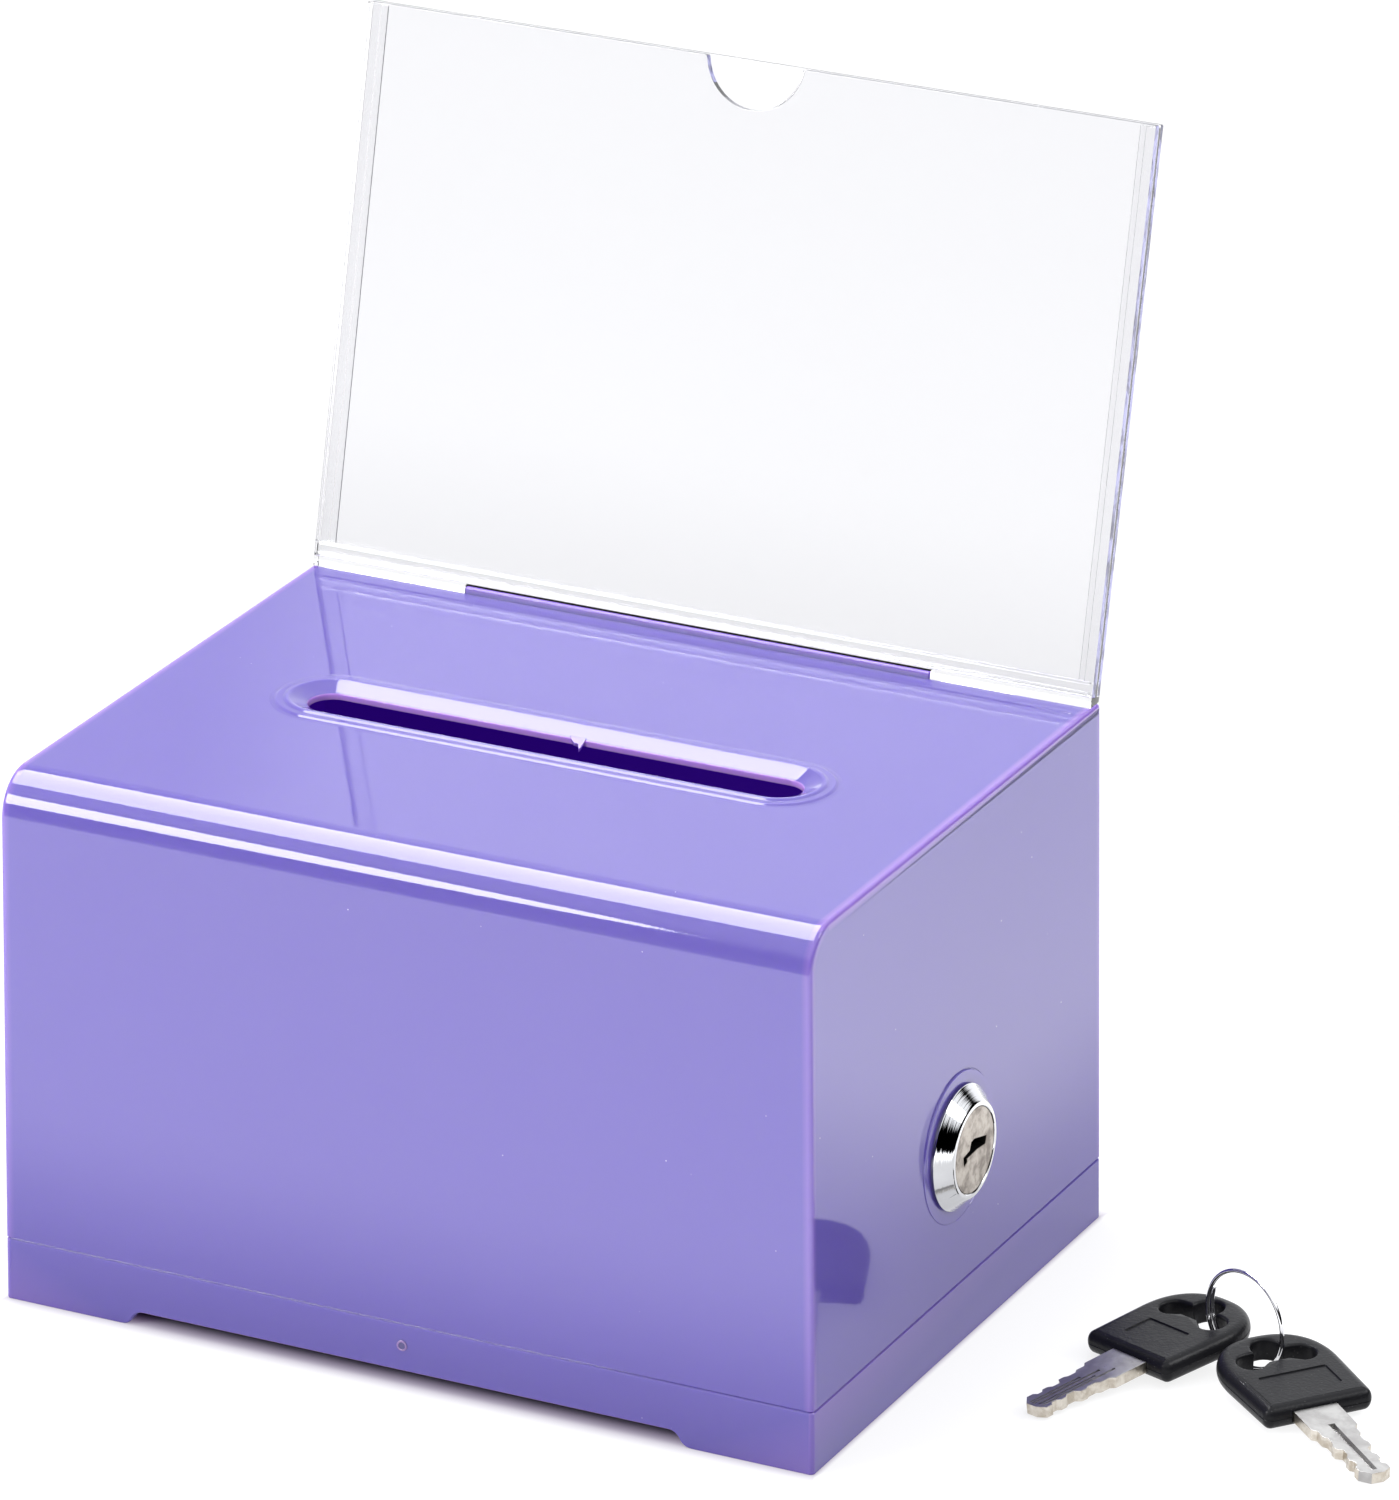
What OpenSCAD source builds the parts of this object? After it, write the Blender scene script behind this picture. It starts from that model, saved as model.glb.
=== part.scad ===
// Countertop donation box: a tray that stands on the table, a slotted shell that tips open
// to the left, a clear sign holder on the shell's back edge, a wafer cam lock in the right
// wall and two keys on a split ring. Millimetres, +Z up, front towards -Y. The origin is the
// middle of the box's footprint.

/* [Box] */
// Width of the box at the table
box_w = 159; // [120:1:220]
// Depth of the box at the table
box_d = 117; // [100:1:160]
// Height of the box's top
box_h = 99.5; // [85:0.5:150]
// Height of the tray, up to the seam
tray_h = 11.7; // [10.5:0.1:16]
// Thickness of the moulded walls
wall = 2; // [1.8:0.1:2.4]
// How far the drafted walls lean in, per mm of height
draft = 0.0124; // [0.005:0.0001:0.02]
// Radius of the long edge between the front and the top
front_r = 8; // [4:0.5:12]

/* [Money slot] */
// Half the straight length of the slot
slot_run = 44; // [25:1:50]
// Half the width of the opening
slot_r = 4.3; // [3:0.1:6]
// Half the width of the raised ring around it
ring_r = 10.3; // [9:0.1:12]
// Height of the raised ring
ring_h = 0.5; // [0.2:0.1:1]

/* [Sign holder] */
// Width of the sign holder
sign_w = 156; // [100:1:157]
// Length of the sign holder along its slope
sign_h = 103.7; // [60:0.1:160]
// Thickness over both sheets
sign_t = 3.4; // [3:0.1:4]
// Thickness of the front sheet
sign_front_t = 1.5; // [1.2:0.1:1.6]
// Room for the card between the sheets
card_gap = 0.8; // [0.5:0.1:1]
// How far the holder leans back, in degrees
sign_lean = 13.6; // [5:0.1:20]
// Radius of the thumb notch
notch_r = 9.5; // [6:0.5:14]

/* [Lock] */
// Sideways place of the lock on the right wall
lock_y = -0.8; // [-5:0.1:5]
// Height of the lock's axis
lock_z = 38; // [36:0.5:42]
// Radius of the chromed flange at the wall
flange_r = 11.4; // [11:0.1:13]
// Radius of the threaded barrel
barrel_r = 9.5; // [9:0.1:10]
// Length of the cam from the axis to its tip
cam_reach = 24; // [20:0.5:26]

/* [Keys] */
// Length of the moulded bow
bow_l = 25.3; // [22:0.1:30]
// Half the width of the bow where it is widest
bow_w = 11; // [10:0.1:13]
// Thickness of the bow
bow_t = 4.4; // [3.5:0.1:5]
// Length of the blade outside the bow
blade_l = 23.6; // [23:0.1:30]
// Radius of the split ring, to the middle of its wire
split_r = 9.1; // [9:0.1:11]

/* [Hidden] */
$fn = 64;
EPS = 0.01;

// Seam and hinge edge
half_w = box_w / 2;
half_d = box_d / 2;
seam_x = half_w - draft * tray_h;
hinge_r = 4;
hinge_gap = 0.05;
hinge_y = [-30, 30];
tab_w = 10;
tab_in = 1.15;
tab_top = 6.2;

// Tray
floor_z = 3.2;
floor_t = 2;
lip_h = 3.5;
lip_gap = 0.2;
lip_t = 1.6;
arch_half = 56;
arch_h = 2.8;
ogee_w = 4.3;

// Sign seat: a low bar in front and a sloping pocket behind it
foot_y = 54.8;
foot_h = 2;
foot_rail = 4.5;
bar_half = 46.5;
bar_h = 1.3;
bar_d = 1.2;
tongue_half = 44;
tongue_l = 7;
tongue_n = [1.4, 2.6];
seat_gap = 0.12;
rail_w = 2.25;
rail_step = 1.25;

// Lock, along its own axis, which is local Z and points out of the wall
seat_x = half_w - draft * 23;
pad_r = 13.8;
pad_t = 2.5;
flange_h = 3.2;
flange_top_r = 8.65;
barrel_l = 16;
barrel_flat = 8;
plug_head_r = 7.8;
plug_head_l = 2.05;
plug_r = 6.4;
run_gap = 0.06;
washer_t = 1;
nut_t = 4;
nut_across = 23;
drive = 3.5;
stop_t = 0.7;
cam_t = 2;
cam_w = 6;
cam_hub = 8;
screw_r = 2;
screw_l = 6;
screw_head_r = 3.8;
screw_head_h = 2.2;
wafers = 5;
wafer_pitch = 2.5;
wafer_t = 0.8;
wafer_h = 3.5;
lock_back = seat_x - barrel_l;

// Strike that the cam turns under
strike_w = 6;
strike_gap = 0.5;

// Keys: the place of the bow's flat end, then roll, pitch and turn
key_a_at = [110.6, 1, 3.15];
key_a_turn = [3.2, 4.4, -112.9];
key_b_at = [149.3, -2.6, 3];
key_b_turn = [-0.6, 4.4, -37.8];
split_at = [128.3, 12.1, 9.54];
split_turn = -20.9;
wire_r = 0.4;
coil_step = 1.1;
blade_t = 2.1;
blade_root = 9;
blade_off = 1.1;
blade_skew = 1.8;
bow_end = 11.4;
bow_corner = 1.6;
bow_steps = [[0, 0.6], [0.3, 1.2], [0.8, 1.75], [1.7, 2.2]];

violet = [0.5, 0.45, 0.86];
clear = [0.85, 0.88, 0.97, 0.35];
chrome = [0.85, 0.86, 0.88];
nickel = [0.68, 0.66, 0.62];
steel = [0.6, 0.6, 0.62];
black = [0.09, 0.09, 0.1];

// An arc of points, from angle a0 to a1 in n steps
function arc(c, r, a0, a1, n) =
    [for (i = [0 : n]) c + r * [cos(a0 + (a1 - a0) * i / n), sin(a0 + (a1 - a0) * i / n)]];

// Extrudes an outline drawn in Y and Z along X, or one drawn in X and Z along Y
module along_x(l) { rotate([90, 0, 90]) linear_extrude(l, center = true) children(); }
module along_y(l) { rotate([90, 0, 0]) linear_extrude(l, center = true) children(); }

// The box's side profile between two heights: drafted front, upright back, and the front
// top corner rounded to a radius
module side_profile(z0, z1, inset, r) {
    lean = sqrt(1 + draft * draft);
    front0 = -half_d + draft * z0 + inset;
    back = half_d - inset;
    c = [-half_d + inset + draft * (z1 - r) + r * lean, z1 - r];
    corner = r > 0 ? arc(c, r, 180 - atan(draft), 90, 15) : [[front0 + draft * (z1 - z0), z1]];
    polygon(concat([[front0, z0]], corner, [[back, z1], [back, z0]]));
}

// The box's front profile between two heights: both sides drafted
module front_profile(z0, z1, inset) {
    x0 = half_w - inset - draft * z0;
    x1 = half_w - inset - draft * z1;
    polygon([[-x0, z0], [x0, z0], [x1, z1], [-x1, z1]]);
}

module drafted(z0, z1, inset = 0, r = 0) {
    intersection() {
        along_x(2 * box_w) side_profile(z0, z1, inset, r);
        along_y(2 * box_d) front_profile(z0, z1, inset);
    }
}

// A stadium with its long axis along X, tapering from r0 at z0 to r1 at z1
module stadium(z0, z1, r0, r1) {
    for (side = [-1, 1])
        translate([side * slot_run, 0, z0]) cylinder(h = z1 - z0, r1 = r0, r2 = r1);
    along_x(2 * slot_run) polygon([[-r0, z0], [r0, z0], [r1, z1], [-r1, z1]]);
}

// Puts things at the hinge edge of the left seam, where x runs inwards and z up
module at_hinge(y) { translate([-seam_x, y, tray_h]) children(); }

// Puts things on the lock's axis: local Z points out of the right wall, local X down
module at_lock() { translate([0, lock_y, lock_z]) rotate([0, 90, 0]) children(); }

// Puts things on the sign holder's slope: local Y runs through the sheets, local Z up
module at_sign() { translate([0, foot_y, box_h]) rotate([-sign_lean, 0, 0]) children(); }

module slab(x, y, z) {
    translate([x[0], y[0], z[0]]) cube([x[1] - x[0], y[1] - y[0], z[1] - z[0]]);
}

// The ogee-ended arch in the tray's front skirt
module arch_outline() {
    turn = 2 * atan(arch_h / ogee_w);
    r = ogee_w / 2 / sin(turn);
    right = concat(
        arc([arch_half, r], r, -90, -90 - turn, 6),
        arc([arch_half - ogee_w, arch_h - r], r, 90 - turn, 90, 6)
    );
    left = [for (i = [len(right) - 1 : -1 : 0]) [-right[i][0], right[i][1]]];
    polygon(concat([[arch_half, -1]], right, left, [[-arch_half, -1]]));
}

// Tray: skirts, floor, locating lip and the two hinge tabs
module base_tray() {
    lip_low = floor_z + floor_t + 1;
    color(violet) difference() {
        union() {
            difference() {
                drafted(0, tray_h);
                drafted(floor_z + floor_t, tray_h + 1, wall);
                drafted(-1, floor_z, wall);
                translate([0, -half_d, 0]) along_y(4 * wall) arch_outline();
            }
            difference() {
                union() {
                    drafted(lip_low, tray_h, wall - EPS);
                    drafted(lip_low, tray_h + lip_h, wall + lip_gap);
                }
                drafted(lip_low - 1, tray_h + lip_h + 1, wall + lip_gap + lip_t);
            }
            for (y = hinge_y) at_hinge(y) hinge_tab();
        }
    }
}

module hinge_tab() {
    post = wall + lip_gap;
    slab([post, post + lip_t], [-tab_w / 2, tab_w / 2], [-lip_h, tab_top]);
    difference() {
        slab([tab_in, post + EPS], [-tab_w / 2, tab_w / 2], [0, tab_top]);
        rotate([90, 0, 0]) cylinder(h = 2 * tab_w, r = hinge_r + hinge_gap, center = true);
    }
}

// The pocket in the shell's left wall that a hinge tab reaches into
module hinge_pocket() {
    difference() {
        slab([wall / 2, 2 * wall], [-tab_w / 2 - 0.5, tab_w / 2 + 0.5], [0, tab_top + 0.8]);
        rotate([90, 0, 0]) cylinder(h = 2 * tab_w, r = hinge_r - hinge_gap, center = true);
    }
}

// Hooked post on the tray floor: the cam turns in under its finger
module strike() {
    top = lock_z + cam_w + strike_gap;
    y_post = lock_y - cam_reach - 1.5;
    x = [lock_back - 3, lock_back - 3 + strike_w] - [1.7, 1.7];
    foot_top = floor_z + floor_t;
    color(violet) {
        slab(x, [y_post - 3.7, y_post], [foot_top, top + 3]);
        slab(x, [y_post - EPS, y_post + 8.8], [top, top + 3]);
        slab(x + [-3, 3], [y_post - 9, y_post + 3], [foot_top, foot_top + 1.5]);
        translate([x[0] + strike_w / 2, 0, 0])
            along_x(2) polygon([[y_post - 3.6, foot_top + 1], [y_post - 9, foot_top + 1],
                                [y_post - 3.6, top - 8]]);
    }
}

// Shell: four walls and the slotted top, open below
module box_shell() {
    color(violet) difference() {
        union() {
            difference() {
                drafted(tray_h, box_h, 0, front_r);
                drafted(tray_h - 1, box_h - wall, wall, front_r - wall);
            }
            stadium(box_h - EPS, box_h + ring_h, ring_r, ring_r - ring_h);
            at_lock() translate([0, 0, seat_x - pad_t]) cylinder(h = pad_t, r = pad_r);
            sign_bar();
            sign_pocket_boss();
        }
        stadium(box_h - 0.8, box_h + ring_h + EPS, slot_r, slot_r + 3);
        stadium(box_h - wall - 1, box_h - 0.8 + EPS, slot_r, slot_r);
        at_lock() intersection() {
            translate([0, 0, seat_x - 2 * pad_t]) cylinder(h = 4 * pad_t, r = barrel_r);
            cube([2 * barrel_flat, 4 * barrel_r, 4 * seat_x], center = true);
        }
        at_sign() slab([-tongue_half - seat_gap, tongue_half + seat_gap],
                       tongue_n + [-seat_gap, seat_gap], [-tongue_l - 0.3, 4]);
        for (y = hinge_y) at_hinge(y) hinge_pocket();
    }
}

// The low rounded bar that shows through the notch in the sign holder's foot
module sign_bar() {
    r = 0.5;
    translate([0, foot_y, box_h]) along_x(2 * bar_half) {
        polygon([[0, -EPS], [0, bar_h - r], [r, bar_h - r], [r, bar_h], [bar_d, bar_h],
                 [bar_d, -EPS]]);
        translate([r, bar_h - r]) circle(r);
    }
}

// Thickening under the top that holds the sign holder's tongue
module sign_pocket_boss() {
    depth = tongue_l + 1.5;
    slab([-tongue_half - 2, tongue_half + 2], [foot_y - 3.2, half_d - wall + EPS],
         [box_h - depth, box_h - wall + EPS]);
}

// A sheet of the sign holder between two depths of the slope
module sign_sheet(n) {
    slab([-sign_w / 2, sign_w / 2], n, [foot_h, sign_h]);
}

module sign_back_sheet() {
    color(clear) at_sign() sign_sheet([sign_front_t + card_gap, sign_t]);
}

module sign_front_sheet() {
    color(clear) at_sign() difference() {
        sign_sheet([0, sign_front_t]);
        translate([0, 0, sign_h + 0.9]) rotate([90, 0, 0])
            cylinder(h = 4 * sign_t, r = notch_r, center = true);
    }
}

// Side rail: a full-thickness strip with a thinner step along its inner edge
module sign_rail() {
    z = [foot_rail, sign_h - 0.5];
    n0 = sign_front_t;
    n1 = sign_front_t + card_gap;
    slab([-sign_w / 2, -sign_w / 2 + rail_w], [n0, n1], z);
    slab([-sign_w / 2 + rail_w - EPS, -sign_w / 2 + rail_w + rail_step],
         [n0 + card_gap / 2, n1], z);
}

module sign_rail_left() { color(clear) at_sign() sign_rail(); }

module sign_rail_right() { color(clear) at_sign() mirror([1, 0, 0]) sign_rail(); }

// Foot: a solid bar cut level underneath, the pocket's floor above it and the tongue below
module sign_foot() {
    color(clear) difference() {
        at_sign() {
            slab([-sign_w / 2, sign_w / 2], [0, sign_t], [-1, foot_h]);
            slab([-sign_w / 2, sign_w / 2], [sign_front_t, sign_front_t + card_gap],
                 [foot_h - EPS, foot_rail]);
            slab([-tongue_half, tongue_half], tongue_n, [-tongue_l, 0]);
        }
        difference() {
            slab([-box_w, box_w], [0, box_d], [0, box_h]);
            at_sign() slab([-tongue_half, tongue_half], tongue_n, [-tongue_l - 1, 1]);
        }
        slab([-bar_half - seat_gap, bar_half + seat_gap],
             [foot_y - 1, foot_y + bar_d + 0.2], [box_h - EPS, box_h + bar_h + seat_gap]);
    }
}

// Lock housing: conical flange, flatted barrel, stepped bore and wafer grooves
module lock_housing() {
    groove_r = plug_r + 1.2;
    color(chrome) at_lock() difference() {
        union() {
            translate([0, 0, seat_x]) cylinder(h = 0.5, r = flange_r);
            translate([0, 0, seat_x + 0.5 - EPS])
                cylinder(h = flange_h - 0.5 + EPS, r1 = flange_r, r2 = flange_top_r);
            intersection() {
                translate([0, 0, lock_back]) cylinder(h = barrel_l + EPS, r = barrel_r);
                cube([2 * barrel_flat, 4 * barrel_r, 4 * seat_x], center = true);
            }
            for (a = [44, -94]) stop_lug(a, a + 20);
        }
        translate([0, 0, lock_back - 1]) cylinder(h = barrel_l + 9, r = plug_r + run_gap);
        translate([0, 0, seat_x + flange_h - plug_head_l])
            cylinder(h = 4, r = plug_head_r + run_gap);
        slab([-wafer_h - 0.2, wafer_h + 0.2], [-groove_r, groove_r],
             [lock_back - 1, lock_back + 13.8]);
    }
}

// A stop on the back of the housing, between two angles about the axis
module stop_lug(a0, a1) {
    inner = cam_hub + 0.5;
    translate([0, 0, lock_back - stop_t]) rotate([0, 0, a0])
        rotate_extrude(angle = a1 - a0) translate([inner, 0]) square([barrel_r - 0.2 - inner, stop_t + 0.2]);
}

// Outline of the keyway, in Y and Z about the lock's axis
module keyway() {
    polygon([[-1.4, 2.1], [0, 2.2], [4.8, 0.9], [4.3, -0.5], [1.2, -0.2], [-3, -0.4],
             [-2.9, -1.1], [-4.3, -1.5], [-4.5, 0.3], [-2, 0.7]]);
}

function wafer_x(i) = lock_back + 2.6 + i * wafer_pitch;

// Plug: head, body with the wafer slots, keyway, square drive and screw hole
module lock_plug() {
    head = seat_x + flange_h - plug_head_l + run_gap;
    color(nickel) difference() {
        at_lock() {
            translate([0, 0, head]) cylinder(h = plug_head_l - 0.15, r = plug_head_r);
            translate([0, 0, lock_back]) cylinder(h = head - lock_back + EPS, r = plug_r);
            translate([0, 0, lock_back - stop_t - cam_t - run_gap])
                linear_extrude(stop_t + cam_t + 1) square(2 * drive, center = true);
        }
        translate([seat_x, lock_y, lock_z]) along_x(2 * (barrel_l - 1.5)) keyway();
        for (i = [0 : wafers - 1]) translate([wafer_x(i), lock_y, lock_z]) wafer_slot();
        at_lock() translate([0, 0, lock_back - stop_t - cam_t - 1])
            cylinder(h = screw_l + 1, r = screw_r);
    }
}

module wafer_slot() {
    t = wafer_t + 0.2;
    slab([-0.1, t - 0.1], [-plug_r - 1, plug_r + 1], [-wafer_h - 0.1, wafer_h + 0.1]);
    slab([-0.1, t - 0.1], [-1.1, 4.1], [wafer_h, 5.1]);
}

// Wafers: windowed plates with a spring ear, trimmed to the plug's radius
module lock_wafers() {
    color("darkgoldenrod") for (i = [0 : wafers - 1]) intersection() {
        translate([wafer_x(i), lock_y, lock_z]) difference() {
            union() {
                slab([0, wafer_t], [-plug_r, plug_r], [-wafer_h, wafer_h]);
                slab([0, wafer_t], [-1, 1], [wafer_h - EPS, 5]);
            }
            slab([-1, wafer_t + 1], [-4.8, 4.9], [-1.8, 2.5]);
        }
        at_lock() translate([0, 0, lock_back]) cylinder(h = barrel_l, r = plug_r - 0.1);
    }
}

// Close-wound springs that press on the wafers' ears
module wafer_springs() {
    $fn = 16;
    r = 0.42;
    turns = 6;
    pitch = 3 / turns;
    color(steel) for (i = [0 : wafers - 1])
        translate([wafer_x(i) + wafer_t / 2, lock_y + 1, lock_z + 4.3]) rotate([-90, 0, 0])
            rotate_extrude() polygon(concat([[0, 0]],
                [for (k = [0 : turns - 1], s = [[0.7, 0.05], [1, 0.5]]) [r * s[0], (k + s[1]) * pitch]],
                [[r * 0.7, turns * pitch], [0, turns * pitch]]));
}

module lock_washer() {
    color(steel) at_lock() translate([0, 0, seat_x - pad_t - washer_t]) difference() {
        cylinder(h = washer_t, r = 12.2);
        translate([0, 0, -1]) cylinder(h = washer_t + 2, r = barrel_r);
    }
}

module lock_nut() {
    color(chrome) at_lock() translate([0, 0, seat_x - pad_t - washer_t - nut_t]) difference() {
        rotate([0, 0, 30]) cylinder(h = nut_t, r = nut_across / sqrt(3), $fn = 6);
        translate([0, 0, -1]) cylinder(h = nut_t + 2, r = barrel_r);
    }
}

// Washer on the plug's square, with the ear that runs between the housing's stops
module stop_washer() {
    color(steel) at_lock() translate([0, 0, lock_back - stop_t - run_gap]) difference() {
        union() {
            cylinder(h = stop_t, r = cam_hub + 0.2);
            rotate([0, 0, 18]) rotate_extrude(angle = 24) square([barrel_r - 0.3, stop_t]);
        }
        linear_extrude(4 * stop_t, center = true) square(2 * drive, center = true);
    }
}

// Cam: a flat bar that hangs down when unlocked
module lock_cam() {
    color(steel) at_lock() translate([0, 0, lock_back - stop_t - cam_t - run_gap]) difference() {
        union() {
            cylinder(h = cam_t, r = cam_hub);
            slab([0, cam_reach], [-cam_w, cam_w], [0, cam_t]);
        }
        linear_extrude(4 * cam_t, center = true) square(2 * drive, center = true);
    }
}

module cam_screw() {
    back = lock_back - stop_t - cam_t - run_gap;
    color(chrome) at_lock() difference() {
        union() {
            translate([0, 0, back - EPS]) cylinder(h = screw_l - 1, r = screw_r);
            translate([0, 0, back - screw_head_h]) cylinder(h = 0.8, r1 = screw_head_r - 0.8, r2 = screw_head_r);
            translate([0, 0, back - screw_head_h + 0.8]) cylinder(h = screw_head_h - 0.8, r = screw_head_r);
        }
        for (a = [0, 90]) rotate([0, 0, a])
            slab([-2.2, 2.2], [-0.45, 0.45], [back - screw_head_h - 1, back - screw_head_h + 1.2]);
    }
}

// Split ring: one full turn of wire and the overlapping end beside it
module split_ring() {
    color(chrome) translate(split_at) rotate([0, 0, split_turn]) rotate([90, 0, 0]) {
        rotate_extrude() translate([split_r, 0]) circle(wire_r);
        translate([0, 0, -coil_step]) rotate([0, 0, 160]) rotate_extrude(angle = 160)
            translate([split_r, 0]) circle(wire_r);
    }
}

module place_key(at, turn) { translate(at) rotate(turn) children(); }

// Bow seen from above, drawn inwards by an amount: square corners at the blade, bulging
// sides and a full round end
module bow_outline(inset = 0) {
    w = bow_w - inset;
    root_w = w - 0.4;
    r = bow_corner;
    c = bow_end - bow_l;
    power = 2 / 2.3;
    end = [for (a = [0 : 6 : 180])
        [c - (bow_end - inset) * pow(sin(a), power), w * sign(cos(a)) * pow(abs(cos(a)), power)]];
    polygon(concat(arc([-inset - r, root_w - r], r, 0, 90, 6), end,
                   arc([-inset - r, r - root_w], r, -90, 0, 6)));
}

// The three-lobed hole for the ring
module bow_hole() {
    for (side = [-1, 1]) translate([-16.4, side * 5]) circle(2.5);
    translate([-19.8, 0]) circle(2.9);
    translate([-19, -5]) square([3.4, 10]);
}

// Bow: a few thin steps stand for the rounding of its edge. The sunk panel is narrow on one
// face and wide on the other, and hand says which face is up.
module key_bow(hand) {
    difference() {
        for (s = bow_steps) linear_extrude(2 * s[1], center = true) bow_outline(s[0]);
        linear_extrude(2 * bow_t, center = true) bow_hole();
        translate([0, hand * blade_off, 0]) rotate([0, 0, hand * blade_skew])
            slab([-blade_root, 1], [-4.3, 4.3], [-blade_t / 2, blade_t / 2]);
        for (side = [-1, 1]) translate([0, 0, side * hand * bow_t / 2])
            slab([-11, -4.6], [-1, 1] * (side > 0 ? 5.2 : 6.7), [-0.25, 0.25]);
    }
}

// Blade from above: a shank, then cuts along both edges
module blade_outline() {
    cuts = [[7.4, 4.3], [8.2, 3.5], [10.2, 3.5], [10.9, 2.9], [12.6, 2.9], [13.4, 3.3],
            [14.6, 3.3], [15.4, 2.2], [17, 2.2], [17.8, 2.8], [19, 2.8], [19.6, 2.2],
            [20.6, 2.2], [21.2, 2.9], [22.6, 2.9]];
    tip = [[blade_l, 1.3], [blade_l, -1.1]];
    lower = [for (i = [len(cuts) - 1 : -1 : 0]) [cuts[i][0] - 0.7, -cuts[i][1] + 0.1]];
    polygon(concat([[-blade_root, 4.3]], cuts, tip, lower, [[-blade_root, -4.3]]));
}

// The blade sits a little to one side of the bow's middle; hand is 1 or -1
module key_blade(hand) {
    translate([0, hand * blade_off, 0]) rotate([0, 0, hand * blade_skew]) difference() {
        linear_extrude(blade_t, center = true) blade_outline();
        slab([5, blade_l - 1.5], [-0.2, 0.7], [blade_t / 2 - 0.6, blade_t]);
        slab([3, blade_l - 3], [-0.9, 0], [-blade_t, -blade_t / 2 + 0.6]);
    }
}

module key_a_bow() { color(black) place_key(key_a_at, key_a_turn) key_bow(1); }

module key_a_blade() { color(nickel) place_key(key_a_at, key_a_turn) key_blade(1); }

module key_b_bow() { color(black) place_key(key_b_at, key_b_turn) key_bow(-1); }

module key_b_blade() { color(nickel) place_key(key_b_at, key_b_turn) key_blade(-1); }

base_tray();
strike();
box_shell();
sign_back_sheet();
sign_front_sheet();
sign_rail_left();
sign_rail_right();
sign_foot();
lock_housing();
lock_plug();
lock_wafers();
wafer_springs();
lock_washer();
lock_nut();
stop_washer();
lock_cam();
cam_screw();
split_ring();
key_a_bow();
key_a_blade();
key_b_bow();
key_b_blade();
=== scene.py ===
"""Looks of the donation box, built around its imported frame: moulded violet shell and tray, clear
sign holder, chromed cam lock, and two keys on a split ring. Shapes are drawn in millimetres, in
the frame's own axes, and scaled to metres when a piece is made."""

from math import acos, asin, atan, copysign, cos, degrees, hypot, inf, pi, radians, sin, sqrt, tan

import bmesh
import bpy
from mathutils import Euler, Matrix, Vector


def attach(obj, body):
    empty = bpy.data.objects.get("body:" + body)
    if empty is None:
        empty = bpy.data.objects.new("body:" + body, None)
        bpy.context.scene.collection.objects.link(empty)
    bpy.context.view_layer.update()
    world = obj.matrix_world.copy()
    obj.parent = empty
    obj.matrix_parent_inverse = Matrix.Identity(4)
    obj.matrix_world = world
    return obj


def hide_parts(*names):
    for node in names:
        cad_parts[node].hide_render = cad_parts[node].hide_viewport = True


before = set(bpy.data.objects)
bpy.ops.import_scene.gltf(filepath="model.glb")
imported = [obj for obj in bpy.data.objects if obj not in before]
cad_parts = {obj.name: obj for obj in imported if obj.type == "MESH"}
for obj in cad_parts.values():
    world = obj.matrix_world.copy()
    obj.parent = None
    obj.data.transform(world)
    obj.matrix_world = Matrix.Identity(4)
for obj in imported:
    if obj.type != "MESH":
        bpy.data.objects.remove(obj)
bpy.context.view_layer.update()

MM = 0.001

# Box
HALF_W, HALF_D, BOX_H = 79.5, 58.5, 99.5
TRAY_H = 11.7
WALL = 2.0
DRAFT = 0.0124
FRONT_R = 8.0
REAR_R = 0.9
SIDE_R = 0.8
TRAY_CORNER_R = 0.9
SEAM_CHAMFER = 0.28
# From a rounded edge to the row of vertices where its painted glow stripe ends
PAINTED_GLOW_MARGIN = 1.1

# Money slot
SLOT_RUN = 44.0
SLOT_R = 4.3

# Tray
FLOOR_Z, FLOOR_T = 3.2, 2.0
LIP_IN, LIP_T, LIP_H = 2.2, 1.6, 3.5
ARCH_HALF, ARCH_H, OGEE_W, ARCH_SOFT = 56.0, 2.8, 4.3, 0.22
SEAM_X = HALF_W - DRAFT * TRAY_H
HINGE_Y = (-30.0, 30.0)
HINGE_R, HINGE_GAP = 4.0, 0.05
POCKET_IN, POCKET_OUT, POCKET_TOP = 1.5 * WALL, 1.0, 7.0
TAB_W, TAB_IN, TAB_TOP = 10.0, 1.15, 6.2
MARK_Z, MARK_R = 7.6, 1.0
STRIKE_X, STRIKE_W, STRIKE_POST, STRIKE_HOOK = -4.7, 6.0, 3.7, 8.8
STRIKE_LIFT, STRIKE_GAP, STRIKE_RIM, STRIKE_PLATE = 0.5, 1.5, 3.0, 1.5

# Sign holder
FOOT_Y = 54.8
SIGN_HALF, SIGN_H, SIGN_T = 78.0, 103.7, 3.4
FRONT_T, CARD_GAP = 1.5, 0.8
SIGN_LEAN = radians(13.6)
NOTCH_R = 9.5
FOOT_H, FOOT_RAIL = 2.0, 4.5
BAR_HALF, BAR_H, BAR_D = 46.5, 1.3, 1.2
TONGUE_HALF, TONGUE_L = 44.0, 7.0
TONGUE_N = (1.4, 2.6)
RAIL_W, RAIL_STEP = 2.25, 1.25
SHEET_CORNER = 0.35
JOINT_GAP, SOCKET_GAP = 0.03, 0.12
# The card's pocket, by depth through the sheets
CARD_N = (FRONT_T + JOINT_GAP, FRONT_T + CARD_GAP - JOINT_GAP)

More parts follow.
